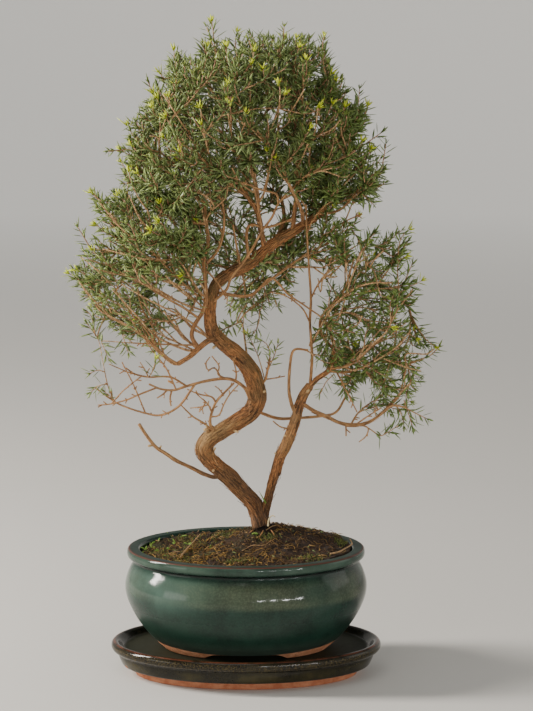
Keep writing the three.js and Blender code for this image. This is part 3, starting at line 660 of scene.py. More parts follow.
close_glaze(wire, bare, brown, clay, shine, place.grain(1100.0, 3.0), dimples, 0.4)
saucer = settle(saucer_mesh, saucer_glaze)
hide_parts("saucer")

# %% [markdown]
# ## The drainage screens
#
# A square of black plastic net lies over each drain hole, under the soil. The solid already has
# the right shape, so it stays and only takes on a slightly dusty plastic.

# %% Screen finish
net_plastic, wire, place = new_finish("net_plastic")
dust = place.grain(400.0, 3.0).over(0.4, 0.75)
colour = (dust * 0.5).mix((22, 24, 23), (84, 72, 56))
close_finish(wire, colour, dust * 0.3 + 0.4, place.grain(900.0, 2.0), 0.3, 0.0004)
for name in ("drain_screen_left", "drain_screen_right"):
    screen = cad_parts[name]
    screen.data.materials.clear()
    screen.data.materials.append(net_plastic)
print("both screens in dusty plastic")

# %% [markdown]
# ## The soil
#
# The soil is low at the left and heaped round the trunk. Its surface is a fine sheet that
# follows the solid's heap and adds crumbs as relief. Real grains, dry rootlets, moss and fallen
# needles then lie on the sheet, because it is these that the eye sees, not the sheet itself.

# %% Soil surface
FOOT_PLACE = np.array([17.0, 12.0])
SOIL_EDGE = 15.5


def heap_at(x, y, cx, cy, rx, ry):
    """A smooth heap round a place, 1 at its top."""
    return np.exp(-(((x - cx) / rx) ** 2) - (((y - cy) / ry) ** 2))


def soil_height(x, y):
    """The height of the soil, in millimetres, the same as the solid's."""
    ripple = 1.1 * np.sin(x / 9 + 1.3) * np.cos(y / 11) + 0.7 * np.sin(x / 4.7 - y / 6.1)
    foot = 21.5 * heap_at(x, y, FOOT_PLACE[0] + 8, FOOT_PLACE[1] + 6, 52, 44)
    right = 6 * heap_at(x, y, 78, 22, 34, 44) + 3 * heap_at(x, y, 88, -38, 34, 30)
    return 123.5 + foot + right + ripple


def crumb_height(x, y):
    """The soil's height with its crumbs."""
    coarse = noise.fractal(Vector((x / 7, y / 7, 0.3)), 0.8, 2.1, 4)
    return float(soil_height(x, y) + 2.6 * heap_at(x, y, -48, 62, 50, 34)) + 1.1 * coarse


soil_rings = [(RIM_LENGTH - step, height) for step, height in [
    (60, 42.9), (37, 43.1), (32, 44.6), (27.5, 47.5), (21, 57), (12.2, 76), (10.4, 92), (12.6, 107),
    (14.0, 114), (14.0, 1000),
]]
soil_mesh = oval_body("soil_body", soil_rings, RIM_LENGTH - RIM_DEPTH, 176, 2, 60)
for corner in soil_mesh.vertices:
    if corner.co.z > 0.5:
        x, y = (corner.co.x - MIDDLE[0]) / MM, (corner.co.y - MIDDLE[1]) / MM
        corner.co.z = crumb_height(x, y) * MM
print("soil at the trunk:", round(crumb_height(*FOOT_PLACE), 1), "mm")

# %% Soil finish
soil_crumb, wire, place = new_finish("soil_crumb")
lumps = place.grain(150.0, 6.0, 0.65).over(0.3, 0.72)
dry = place.grain(55.0, 3.0).over(0.45, 0.7)
mossy = place.grain(30.0, 3.0).over(0.44, 0.62) * (1 - place.part(0).over(-0.03, 0.05))
specks = place.grain(900.0, 3.0).over(0.6, 0.72)
colour = coated(
    lumps.mix((19, 12, 8), (52, 34, 20)),
    (dry * 0.35, (84, 60, 30)),
    (mossy * 0.55, (52, 58, 24)),
    (specks * 0.4, (128, 96, 54)),
)
close_finish(wire, colour, 0.95, place.grain(420.0, 5.0, 0.7), 0.8, 0.002)
soil = settle(soil_mesh, soil_crumb)
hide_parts("soil")


# %% Places on the soil
def soil_places(count, random, reach=0.97):
    """Random places on the soil, as x and y in millimetres."""
    turn = random.uniform(0, 2 * math.pi, count)
    part = np.sqrt(random.uniform(0, 1, count)) * reach
    length = RIM_LENGTH - SOIL_EDGE
    return part * length * np.cos(turn), part * (length - RIM_LENGTH + RIM_DEPTH) * np.sin(turn)


def clear_of_trunk(x, y, gap):
    """Whether a place on the soil keeps this gap from the middle of the trunk's foot."""
    return math.hypot(x - FOOT_PLACE[0], y - FOOT_PLACE[1]) > gap


def soil_spot(across, up, lift):
    """The place on the soil that is seen at a drawn point."""
    for depth in range(-90, 90):
        place = along_sight(across, up, depth)
        if place[2] <= crumb_height(place[0], place[1]):
            break
    return np.array([place[0], place[1], crumb_height(place[0], place[1]) + lift])


# %% [markdown]
# ### Grains
#
# Each grain is a lumpy ball of twenty faces, sunk a little into the soil. Most are dark crumbs,
# a few are pale bits of bark and pumice.

# %% Soil grains
GOLDEN = (1 + 5 ** 0.5) / 2
BALL = np.array([
    (-1, GOLDEN, 0), (1, GOLDEN, 0), (-1, -GOLDEN, 0), (1, -GOLDEN, 0), (0, -1, GOLDEN),
    (0, 1, GOLDEN), (0, -1, -GOLDEN), (0, 1, -GOLDEN), (GOLDEN, 0, -1), (GOLDEN, 0, 1),
    (-GOLDEN, 0, -1), (-GOLDEN, 0, 1),
]) / math.hypot(1, GOLDEN)
BALL_FACES = [
    (0, 11, 5), (0, 5, 1), (0, 1, 7), (0, 7, 10), (0, 10, 11), (1, 5, 9), (5, 11, 4), (11, 10, 2),
    (10, 7, 6), (7, 1, 8), (3, 9, 4), (3, 4, 2), (3, 2, 6), (3, 6, 8), (3, 8, 9), (4, 9, 5), (2, 4, 11),
    (6, 2, 10), (8, 6, 7), (9, 8, 1),
]


def rng(seed):
    """The same random numbers every time."""
    return np.random.default_rng(seed)


random = rng(5)
grains = Heap()
for x, y in zip(*soil_places(1700, random)):
    if not clear_of_trunk(x, y, 9):
        continue
    size = 0.4 + 1.1 * random.random() ** 2.5
    shape = BALL * size * random.uniform(0.7, 1.25, (12, 1)) * (1.2, 1.0, 0.75)
    turn = random.uniform(0, 2 * math.pi)
    cosine, sine = math.cos(turn), math.sin(turn)
    shape = shape @ np.array([(cosine, sine, 0), (-sine, cosine, 0), (0, 0, 1)])
    rest = (x, y, crumb_height(x, y) + 0.2 * size)
    grains.add(shape + rest, BALL_FACES, tone=random.random())
grain_finish, wire, place = new_finish("soil_grain")
tone = wire.named("tone")
colour = coated(tone.mix((24, 15, 10), (78, 52, 31)), (tone.over(0.93, 0.98) * 0.7, (150, 118, 74)))
close_finish(wire, colour, 0.92, place.grain(1600.0, 3.0), 0.5, 0.0006)
grains.piece("soil_grains", grain_finish, "soil", smooth=False)

# %% [markdown]
# ## The limbs
#
# Both stems and all the limbs are drawn as runs of points: across, up and depth, and on the
# stems the width too. A smooth curve goes through the points of a run, and a limb starts on its
# parent's middle line. These are the same points that the solid wood has. A second list adds
# the fine bare twigs that the solid wood leaves out.

# %% Limbs as they are drawn
LIMBS = [
    ("stem", None, None, [
        (15, 149, 12, 15), (11, 163, 12, 15.5), (6, 173, 10, 15.5), (-5, 184, 8, 15.5),
        (-17, 197, 6, 16.5), (-27, 206, 4, 15), (-36, 214, 2, 15), (-42, 224, 1, 17), (-38, 234, 1, 16),
        (-26, 242, 2, 15), (-8, 253, 6, 16), (5, 262, 9, 16.5), (11, 274, 10, 17), (10, 287, 9, 16.5),
        (5, 302, 5, 16.5), (-8, 319, 0, 15), (-24, 332, -4, 13.5), (-34, 344, -6, 12.5),
        (-36, 361, -6, 11), (-34, 379, -4, 10.5), (-28, 392, -2, 10.5), (-15, 401, 2, 10.5),
        (4, 411, 6, 11), (19, 424, 8, 10), (35, 436, 10, 9.5), (46, 442, 10, 8.5), (57, 449, 10, 7.5),
    ]),
    ("right_stem", None, None, [
        (17, 152, 12, 9), (20, 166, 9, 7.5), (24, 183, 5, 8), (29, 200, 1, 9), (34, 217, -2, 9.5),
        (39, 227, -4, 10.5), (45, 241, -6, 10), (50, 256, -8, 9.5), (53, 268, -9, 9), (58, 280, -10, 8.5),
        (64, 289, -10, 8),
    ]),
    ("crown_left", "stem", (5.2, 2.2), [
        (17, 425, 8), (12, 459, 5), (3, 475, 6), (-12, 497, 9), (-40, 522, 8), (-68, 546, 5),
    ]),
    ("crown_middle", "crown_left", (3.6, 1.8), [
        (12, 459, 5), (12, 478, -2), (8, 499, -8), (3, 520, -10), (-6, 550, -8), (-16, 586, -4),
    ]),
    ("crown_back", "stem", (4.6, 1.8), [
        (30, 433, 9), (38, 458, 32), (30, 492, 54), (14, 526, 64), (-8, 560, 60),
    ]),
    ("crown_right", "stem", (5.4, 2), [
        (54, 447, 10), (70, 456, 5), (83, 473, 0), (90, 488, -2), (98, 512, 0), (106, 540, 4),
    ]),
    ("crown_top", "stem", (4.6, 1.8), [
        (47, 442, 10), (49, 468, 8), (52, 500, 6), (50, 535, 3), (44, 570, 0), (38, 600, 0),
    ]),
    ("crown_front", "stem", (4.2, 1.8), [
        (57, 449, 10), (56, 462, -14), (46, 484, -40), (32, 512, -58), (14, 540, -64),
    ]),
    ("crown_far_back", "stem", (4.2, 1.8), [(52, 445, 10), (72, 464, 34), (86, 492, 52), (92, 526, 60)]),
    ("crown_right_twig", "crown_right", (2.6, 1.6), [
        (72, 458, 4), (95, 465, -12), (114, 486, -22), (130, 498, -26),
    ]),
    ("crown_front_left", "crown_left", (3, 1.8), [
        (2, 476, 6), (-10, 486, -22), (-30, 502, -46), (-52, 524, -58),
    ]),
    ("crown_back_left", "crown_left", (3.2, 1.8), [
        (-8, 492, 8), (-26, 508, 34), (-48, 530, 54), (-64, 556, 58),
    ]),
    ("pale_branch", "stem", (2.8, 1.8), [
        (-32, 370, -5), (-20, 384, -16), (-15, 396, -22), (-4, 410, -24), (6, 425, -24), (16, 443, -25),
        (26, 457, -27), (32, 470, -29), (41, 480, -30), (57, 494, -32), (72, 503, -34), (86, 507, -36),
    ]),
    ("ochre_limb", "stem", (5.5, 4), [
        (-24, 332, -4), (-36, 334, -14), (-47, 326, -20), (-57, 317, -24), (-69, 310, -27),
    ]),
    ("left_riser", "ochre_limb", (4.6, 2.6), [
        (-47, 326, -20), (-54, 337, -20), (-52, 348, -18), (-42, 365, -17), (-40, 382, -17),
        (-42, 412, -18), (-38, 432, -18), (-41, 458, -16), (-44, 473, -14), (-62, 483, -12),
        (-84, 494, -8), (-104, 510, -4),
    ]),
    ("left_high", "left_riser", (3.4, 2), [
        (-42, 414, -18), (-56, 418, -16), (-79, 414, -10), (-100, 414, -4), (-124, 420, 0),
        (-138, 424, 2),
    ]),
    ("left_high_up", "left_high", (2.4, 1.6), [
        (-70, 415, -12), (-88, 434, -6), (-110, 438, 0), (-128, 444, 4), (-138, 456, 6),
    ]),
    ("left_low", "ochre_limb", (3.4, 2), [
        (-68, 310, -27), (-80, 317, -32), (-94, 330, -34), (-104, 339, -32), (-118, 348, -28),
        (-134, 356, -22), (-146, 364, -16), (-155, 376, -12),
    ]),
    ("left_front", "left_riser", (2.6, 1.7), [
        (-48, 356, -18), (-62, 366, -34), (-80, 376, -48), (-96, 386, -56),
    ]),
    ("left_back", "left_riser", (2.8, 1.7), [
        (-41, 392, -17), (-58, 396, 6), (-80, 398, 28), (-100, 402, 42),
    ]),
    ("long_sweep", "stem", (4, 1.9), [
        (6, 268, 9), (3, 278, -2), (-2, 287, -8), (-16, 295, -14), (-35, 294, -20), (-59, 288, -26),
        (-72, 284, -30), (-85, 285, -34), (-97, 290, -38),
    ]),
    ("long_sweep_low", "long_sweep", (2.4, 1.6), [
        (-50, 290, -24), (-67, 268, -20), (-85, 259, -18), (-101, 261, -14), (-125, 269, -10),
        (-141, 279, -6), (-150, 286, -4),
    ]),
    ("long_sweep_high", "long_sweep", (2.1, 1.5), [
        (-60, 288, -26), (-76, 297, -32), (-97, 297, -40), (-111, 300, -44), (-120, 306, -46),
    ]),
    ("bare_branch", "stem", (4.4, 3.2), [
        (-22, 201, 5), (-31, 197, 2), (-42, 200, -1), (-54, 206, -4), (-69, 213, -8), (-81, 221, -10),
        (-90, 227, -12), (-99, 238, -14), (-107, 250, -16),
    ]),
    ("little_spur", "stem", (3.4, 1.8), [
        (-30, 240, 2), (-36, 252, -12), (-31, 270, -16), (-22, 281, -18), (-12, 291, -19),
    ]),
    ("right_arm", "stem", (3.6, 2.2), [
        (-13, 376, -4), (1, 378, 4), (16, 388, 8), (31, 399, 10), (46, 410, 10), (59, 419, 8),
        (72, 426, 6), (83, 431, 4),
    ]),
    ("tall_twig", "right_stem", (3, 1.8), [
        (64, 289, -10), (66, 318, -4), (64, 352, 0), (65, 375, 2), (63, 406, -4), (61, 440, -8),
        (60, 470, -10),
    ]),
    ("right_fork", "right_stem", (5.4, 3), [
        (61, 286, -10), (71, 295, -12), (84, 305, -14), (87, 318, -14), (88, 334, -12),
    ]),
    ("right_bright", "right_fork", (3.2, 1.8), [
        (84, 305, -14), (100, 308, -22), (113, 315, -26), (124, 326, -28), (136, 335, -30),
    ]),
    ("right_brown", "right_fork", (3.4, 1.9), [
        (84, 304, -14), (97, 302, -6), (110, 304, 0), (129, 314, 6), (147, 323, 10), (157, 336, 12),
    ]),
    ("right_leafy", "right_brown", (2.2, 1.6), [
        (128, 314, 6), (144, 312, 2), (160, 310, -2), (174, 314, -4),
    ]),
    ("right_low", "right_stem", (4.2, 2.2), [
        (58, 270, -9), (68, 263, -14), (80, 258, -18), (92, 252, -20), (104, 249, -22), (116, 250, -22),
        (128, 255, -22), (142, 266, -20), (154, 280, -18),
    ]),
    ("right_low_fork", "right_low", (2.2, 1.6), [(138, 262, -20), (146, 268, -30), (160, 267, -36)]),
    ("right_cross", "stem", (3.4, 2), [
        (12, 262, 10), (30, 256, 16), (50, 256, 20), (75, 258, 22), (90, 262, 22), (99, 276, 22),
        (110, 294, 22),
    ]),
    ("right_inner", "right_stem", (4, 2), [
        (50, 258, -8), (45, 272, -16), (43, 286, -20), (44, 309, -22), (48, 324, -20), (62, 324, -18),
    ]),
    ("right_upper", "right_fork", (3.2, 2), [
        (87, 326, -13), (78, 336, -2), (74, 352, 6), (84, 368, 12), (104, 382, 18), (124, 391, 20),
        (142, 391, 20),
    ]),
    ("right_upper_rise", "right_upper", (2.4, 1.7), [
        (88, 370, 13), (98, 384, 0), (104, 402, -8), (108, 416, -12),
    ]),
    ("right_upper_back", "right_upper", (2.4, 1.7), [(78, 360, 8), (88, 372, 30), (104, 390, 46)]),
]
print(len(LIMBS), "limbs drawn")

# %% Fine bare twigs as they are drawn
FINE_LIMBS = [
    ("crown_low_link", "stem", (3.2, 2.2), [(2, 410, 6), (2, 447, -6), (22, 447, -9), (46, 455, -12)]),
    ("left_riser_loop", "left_riser", (3, 2), [
        (-40, 408, -18), (-31, 420, -13), (-25, 432, -10), (-22, 450, -8), (-24, 472, -8),
        (-32, 480, -10), (-43, 478, -12),
    ]),
    ("right_whip", "right_arm", (2.2, 1.4), [
        (14, 386, 8), (26, 396, -4), (42, 380, -10), (58, 369, -14), (74, 358, -16),
    ]),
    ("pale_fork", "pale_branch", (2.4, 1.6), [
        (32, 470, -29), (30, 480, -32), (16, 484, -34), (-4, 492, -38),
    ]),
    ("pale_fork_up", "pale_fork", (1.6, 1), [(17, 483, -34), (21, 496, -38), (23, 508, -40)]),
    ("pale_rise", "pale_branch", (2.2, 1.3), [
        (17, 444, -25), (12, 466, -30), (8, 490, -34), (5, 514, -36),
    ]),
    ("right_low_back", "right_low", (2, 1.3), [(104, 250, -22), (113, 262, -8), (130, 275, 4)]),
    ("right_low_second", "right_low", (1.8, 1.1), [(110, 250, -22), (122, 258, -26), (135, 266, -30)]),
    ("right_low_hook", "right_low", (1.7, 1.1), [
        (114, 250, -22), (122, 246, -26), (120, 238, -28), (113, 232, -28),
    ]),
    ("right_low_stub", "right_low", (2, 1.4), [(101, 250, -21), (100, 238, -24)]),
    ("right_brown_low", "right_brown", (1.8, 1.2), [(91, 303, -10), (100, 284, -18), (111, 262, -24)]),
    ("right_arm_up", "right_arm", (2, 1.2), [(72, 426, 6), (82, 440, 0), (98, 452, -6), (116, 460, -8)]),
    ("right_arm_side", "right_arm", (1.8, 1.1), [
        (59, 419, 8), (74, 414, 2), (92, 418, -6), (110, 428, -10),
    ]),
    ("tall_twig_left", "tall_twig", (1.7, 1.1), [
        (64, 352, 0), (56, 366, -8), (40, 378, -12), (24, 382, -14),
    ]),
    ("tall_twig_right", "tall_twig", (1.8, 1.1), [
        (65, 375, 2), (74, 392, -4), (90, 404, -8), (104, 420, -12),
    ]),
    ("tall_twig_top", "tall_twig", (1.7, 1), [(61, 440, -8), (68, 456, -16), (80, 470, -22)]),
    ("riser_twig_low", "left_riser", (2, 1.3), [(-38, 405, -17), (-29, 392, -22), (-20, 376, -24)]),
    ("riser_twig_drop", "riser_twig_low", (1.5, 1), [(-24, 384, -23), (-19, 380, -24), (-19, 370, -24)]),
    ("stem_twig_back", "stem", (2.2, 1.5), [
        (-4, 402, 4), (-8, 420, -6), (-11, 436, -10), (-13, 449, -12),
    ]),
    ("stem_twig_drop", "stem", (1.9, 1.2), [(-4, 404, 4), (-2, 392, -6), (-1, 377, -8)]),
    ("riser_stub", "left_riser", (3.4, 2.8), [(-41, 451, -16), (-47, 451, -19), (-53, 451, -21)]),
    ("riser_low_twig", "left_riser", (2, 1.2), [
        (-50, 330, -20), (-62, 329, -26), (-88, 330, -32), (-113, 331, -34),
    ]),
    ("fan_one", "left_riser", (1.9, 1), [
        (-42, 362, -17), (-66, 372, -28), (-96, 388, -36), (-128, 392, -38),
    ]),
    ("fan_two", "left_riser", (1.9, 1), [
        (-41, 372, -17), (-62, 390, -26), (-86, 414, -34), (-108, 440, -38),
    ]),
    ("fan_three", "left_riser", (1.8, 1), [
        (-42, 366, -17), (-58, 380, -20), (-82, 396, -16), (-112, 412, -12),
    ]),
    ("fan_four", "left_riser", (1.8, 1), [
        (-42, 398, -18), (-56, 426, -24), (-70, 448, -28), (-92, 470, -30),
    ]),
    ("fan_five", "left_low", (1.8, 1), [
        (-88, 326, -33), (-100, 344, -38), (-116, 362, -42), (-132, 387, -44),
    ]),
    ("fan_six", "left_low", (1.7, 1), [
        (-80, 318, -32), (-92, 344, -30), (-104, 366, -24), (-110, 392, -18),
    ]),
    ("leafy_back", "left_back", (1.8, 1), [
        (-58, 396, 6), (-66, 416, 14), (-74, 436, 20), (-87, 456, 22),
    ]),
    ("red_twig", "long_sweep", (1.7, 1), [
        (-69, 285, -29), (-80, 306, -34), (-94, 324, -38), (-104, 340, -40),
    ]),
    ("sweep_drop", "long_sweep", (2.2, 1.5), [(-75, 284, -31), (-76, 276, -33), (-75, 268, -34)]),
    ("sweep_drop_side", "long_sweep", (1.8, 1.2), [(-79, 283, -32), (-84, 279, -36), (-89, 276, -38)]),
    ("low_cross", "long_sweep", (1.9, 1.2), [
        (-90, 287, -35), (-108, 279, -40), (-120, 274, -42), (-136, 270, -42), (-148, 269, -40),
    ]),
    ("low_cross_fork", "low_cross", (1.5, 1), [(-134, 271, -42), (-122, 284, -40), (-106, 297, -36)]),
    ("low_straight", "long_sweep_low", (1.6, 1.1), [
        (-101, 262, -14), (-112, 288, -18), (-124, 312, -22),
    ]),
    ("low_leafy", "long_sweep_low", (1.4, 0.9), [(-132, 272, -8), (-138, 288, -10), (-141, 301, -12)]),
    ("low_side", "long_sweep_high", (1.4, 0.9), [(-104, 298, -42), (-118, 302, -48), (-137, 310, -50)]),
    ("high_drop", "long_sweep_high", (1.4, 0.9), [(-98, 297, -40), (-101, 304, -44), (-106, 312, -46)]),
    ("sweep_curl", "long_sweep", (1.7, 1.1), [
        (-24, 295, -17), (-31, 306, -24), (-38, 304, -27), (-40, 311, -28), (-36, 317, -28),
    ]),
    ("sweep_up", "long_sweep", (1.8, 1.2), [(-11, 293, -12), (-10, 303, -18), (-14, 318, -22)]),
    ("sweep_pale", "long_sweep", (2, 1.2), [
        (-20, 295, -15), (-28, 300, -22), (-27, 308, -26), (-34, 318, -30),
    ]),
    ("spur_left", "little_spur", (2, 1.2), [
        (-31, 273, -16), (-34, 277, -18), (-43, 279, -20), (-50, 281, -21), (-59, 285, -22),
    ]),
    ("spur_low_left", "little_spur", (1.8, 1.1), [
        (-34, 262, -15), (-37, 268, -20), (-41, 273, -24), (-46, 277, -27), (-51, 282, -29),
    ]),
    ("spur_hang", "spur_low_left", (1.5, 1.2), [(-40, 272, -23), (-43, 267, -26), (-47, 262, -28)]),
    ("spur_right", "little_spur", (1.8, 1.2), [
        (-34, 258, -14), (-27, 259, -20), (-22, 270, -24), (-16, 280, -26), (-7, 290, -26),
    ]),
    ("spur_top", "little_spur", (1.4, 1), [(-23, 281, -18), (-27, 285, -22), (-31, 288, -24)]),
    ("spur_cross", "little_spur", (1.5, 1.1), [(-31, 274, -16), (-27, 277, -14), (-22, 279, -12)]),
    ("spur_flat", "spur_low_left", (1.4, 1), [(-38, 269, -21), (-46, 267, -16), (-56, 266, -14)]),
    ("knee_dark", "stem", (2.4, 1.3), [
        (-34, 247, 2), (-41, 250, -4), (-51, 256, -6), (-57, 261, -8), (-66, 270, -8),
    ]),
    ("trunk_right", "stem", (3, 2), [(14, 285, 9), (19, 294, 4), (21, 301, 0), (24, 316, -4)]),
    ("trunk_right_fork", "trunk_right", (1.6, 1), [(19, 294, 4), (29, 296, -4), (39, 298, -8)]),
    ("right_stem_twig", "right_stem", (1.8, 1.2), [(43, 247, -6), (35, 247, -10), (27, 253, -14)]),
]

print(len(FINE_LIMBS), "fine twigs drawn")


# %% Smooth runs through drawn points
def gone_along(run):
    """How far along a run each of its points lies."""
    return np.concatenate([[0], np.cumsum(np.linalg.norm(np.diff(run[:, :3], axis=0), axis=1))])


def rows_at(places, gone, rows):
    """The rows of a run at other places along it."""
    return np.stack([np.interp(places, gone, column) for column in rows.T], axis=1)


def through(points, step):
    """A smooth run through points, resampled evenly, with any further columns carried along."""
    points = np.asarray(points, dtype=float)
    padded = np.vstack([2 * points[0] - points[1], points, 2 * points[-1] - points[-2]])
    fine = []
    for k in range(len(points) - 1):
        before, here, there, after = padded[k:k + 4]
        for t in np.linspace(0, 1, 12, endpoint=False):
            fine.append(0.5 * (
                2 * here + (there - before) * t
                + (2 * before - 5 * here + 4 * there - after) * t ** 2
                + (3 * here - before - 3 * there + after) * t ** 3
            ))
    fine.append(points[-1])
    fine = np.array(fine)
    gone = gone_along(fine)
    count = max(int(gone[-1] / step), 3)
    return rows_at(np.linspace(0, gone[-1], count + 1), gone, fine)


def drawn_run(points, step):
    """A smooth run through drawn points."""
    return through([along_sight(*point) for point in points], step)


def nearest_on(run, target):
    """The place on a run that is nearest to a point."""
    return run[np.argmin(np.linalg.norm(run[:, :3] - target, axis=1)), :3]


STEM_STEP, LIMB_STEP = 1.5, 2.2


def lay_out_limbs():
    """Every limb as a smooth run of x, y, z and radius, in millimetres."""
    limbs = {}
    for name, parent, taper, drawn in LIMBS + FINE_LIMBS:
        rows = []
        for k, point in enumerate(drawn):
            part = k / (len(drawn) - 1)
            width = point[3] if taper is None else taper[0] + (taper[1] - taper[0]) * part
            rows.append([*along_sight(*point[:3]), width / 2])
        if parent:
            rows[0][:3] = nearest_on(limbs[parent], np.array(rows[0][:3]))
        limbs[name] = through(rows, STEM_STEP if taper is None else LIMB_STEP)
    return limbs


limbs = lay_out_limbs()
print(len(limbs), "limbs,", sum(len(run) for run in limbs.values()), "rings")

# %% [markdown]
# ## Bark
#
# Manuka bark hangs in long fibrous strips. Each limb is a tube of many sides round its run. The
# corners are pushed in and out by noise that is stretched along the run, which gives the strips
# real relief, and the place round and along the limb is kept on every corner, so that the finish
# can draw finer fibres the same way. The stems swell into roots where they meet the soil.

# %% Tubes round a run
def unit(ways):
    """The same ways, each one long: a single one, or one in each row."""
    return ways / np.maximum(np.linalg.norm(ways, axis=-1, keepdims=True), 1e-9)


def frames_along(run):
    """Even cross directions along a run, without twist."""
    tangents = unit(np.gradient(run, axis=0))
    side = np.array([0.0, 1.0, 0.0]) if abs(tangents[0][1]) < 0.9 else np.array([1.0, 0.0, 0.0])
    sides = []
    for tangent in tangents:
        side = unit(side - side.dot(tangent) * tangent)
        sides.append(side)
    sides = np.array(sides)
    return tangents, sides, np.cross(tangents, sides)


def add_tube(heap, run, radii, sides, tip=0.5, **numbers):
    """A closed tapered tube round a run."""
    run = np.asarray(run)
    radii = np.broadcast_to(np.asarray(radii, dtype=float), (len(run),))
    tangents, across, other = frames_along(run)
    turn = np.linspace(0, 2 * np.pi, sides, endpoint=False)
    cosine, sine = np.cos(turn)[None, :, None], np.sin(turn)[None, :, None]
    outward = cosine * across[:, None] + sine * other[:, None]
    corners = run[:, None] + outward * radii[:, None, None]
    ends = np.stack([run[0] - tangents[0] * radii[0] * 0.3, run[-1] + tangents[-1] * radii[-1] * tip])
    spread = {}
    for name, value in numbers.items():
        value = np.asarray(value, dtype=float)
        if value.ndim == 0:
            value = np.full(len(run), float(value))
        spread[name] = np.concatenate([np.repeat(value, sides, axis=0), value[[0, -1]]])
    heap.add(np.vstack([corners.reshape(-1, 3), ends]), tube_faces(len(run), sides), **spread)


# %% Limbs with strips of bark
def fibre(turn, gone, seed, strands, stretch):
    """Noise in long strips: its place round the limb and along it, from -1 to 1."""
    lean = turn + gone * 0.012
    place = (math.cos(lean) * strands, math.sin(lean) * strands + seed * 7.3, gone / stretch)
    return noise.noise(Vector(place))


def add_limb(heap, run, sides, seed, strips, roots=0.0):
    """A limb with strips of bark in relief."""
    centre, radii, gone = run[:, :3], run[:, 3], gone_along(run)
    tangents, across, other = frames_along(centre)
    corners, grain, depth = [], [], []
    for k in range(len(run)):
        radius = radii[k]
        flare = roots * math.exp(-max(gone[k] - 4, 0) / 7)
        for step in range(sides):
            turn = 2 * math.pi * step / sides
            coarse = fibre(turn, gone[k], seed, 0.9, 19)
            strip = fibre(turn, gone[k], seed + 3, 3.2, 22)
            hair = fibre(turn, gone[k], seed + 6, 7.5, 12)
            lift = strips * (0.10 * coarse + 0.13 * (0.5 - 2 * abs(strip)) + 0.07 * hair)
            lobes = 1 + flare * (0.6 + 0.6 * math.sin(turn * 3 + 0.8) + 0.25 * math.sin(turn * 5))
            reach = radius * (1 + lift) * lobes
            way = math.cos(turn) * across[k] + math.sin(turn) * other[k]
            corners.append(centre[k] + way * reach)
            grain.append((math.cos(turn) * radius, math.sin(turn) * radius, gone[k]))
            depth.append(0.5 + 1.6 * lift)
    corners += [centre[0], centre[-1] + tangents[-1] * radii[-1] * 0.4]
    grain += [(0, 0, gone[0]), (0, 0, gone[-1])]
    depth += [0.5, 0.5]
    height = np.array(corners)[:, 2]
    thick = np.concatenate([np.repeat(radii, sides), radii[[0, -1]]])
    faces = tube_faces(len(run), sides)
    heap.add(corners, faces, grain=grain, lift=depth, up=height, thick=thick)


THICK_LIMB = 2.4
stems = Heap()
add_limb(stems, limbs["stem"], 88, 1, 1.0, roots=0.3)
add_limb(stems, limbs["right_stem"], 48, 2, 1.1, roots=0.2)
branches = Heap()
for seed, (name, run) in enumerate(limbs.items()):
    if name not in ("stem", "right_stem"):
        add_limb(branches, run, 16 if run[0][3] > THICK_LIMB else 8, seed + 11, 0.8)
print(stems.count, "corners on the stems,", branches.count, "on the limbs")

# %% Knots on the fine twigs
KNOTTY = [name for name, *_ in FINE_LIMBS] + ["long_sweep_low", "long_sweep_high", "little_spur"]
random = rng(55)
for name in KNOTTY:
    run = limbs[name]
    for _ in range(max(int(np.linalg.norm(run[-1, :3] - run[0, :3]) / 9), 1)):
        k = random.integers(2, len(run) - 2)
        way = unit(run[k + 1, :3] - run[k - 1, :3])
        side = unit(np.cross(way, random.normal(0, 1, 3)))
        end = run[k, :3] + (side + way * 0.8) * random.uniform(1.8, 4.6)
        knot = np.linspace(run[k, :3], end, 4)
        add_tube(
            branches, knot, [0.9, 0.7, 0.6, 0.62], 6, 0.4, grain=knot, lift=0.6, up=knot[:, 2],
            thick=1.2,
        )
print(branches.count, "corners on the limbs with their knots")

# %% [markdown]
# ### Loose threads
#
# The outer bark frays. Threads lie along the stems, hug them for most of their length and lift
# off at one end. Each is a thin tube that follows the stem's run with a little drift round it.

# %% Bark threads
def add_threads(heap, run, count, lift, random, low=0.0):
    """Threads of bark that lie along a stem."""
    gone = gone_along(run)
    _, across, other = frames_along(run[:, :3])
    guide = np.hstack([run, across, other])
    for _ in range(count):
        length = random.uniform(8, 30)
        start = random.uniform(low, gone[-1] - length)
        places = np.linspace(start, start + length, max(int(length / 2.2), 5))
        if random.random() < 0.4:
            places = places[::-1]
        rows = rows_at(places, gone, guide)
        part = np.linspace(0, 1, len(places))
        turn = random.uniform(0, 2 * math.pi) + random.normal(0, 0.35) * part
        turn = turn + 0.12 * np.sin(part * 5 + random.uniform(0, 6))
        rise = 0.25 + lift * random.random() ** 4 * part ** 3
        cosine, sine = np.cos(turn)[:, None], np.sin(turn)[:, None]
        way = cosine * rows[:, 4:7] + sine * rows[:, 7:10]
        points = rows[:, :3] + way * (rows[:, 3] + rise)[:, None]
        grain = np.stack([cosine[:, 0] * rows[:, 3], sine[:, 0] * rows[:, 3], places], axis=1)
        thin = random.uniform(0.22, 0.5)
        add_tube(
            heap, points, thin * (1 - 0.6 * part), 3, 1.0, grain=grain + random.normal(0, 2, 3),
            lift=random.uniform(0.45, 0.9), up=points[:, 2], thick=rows[:, 3],
        )


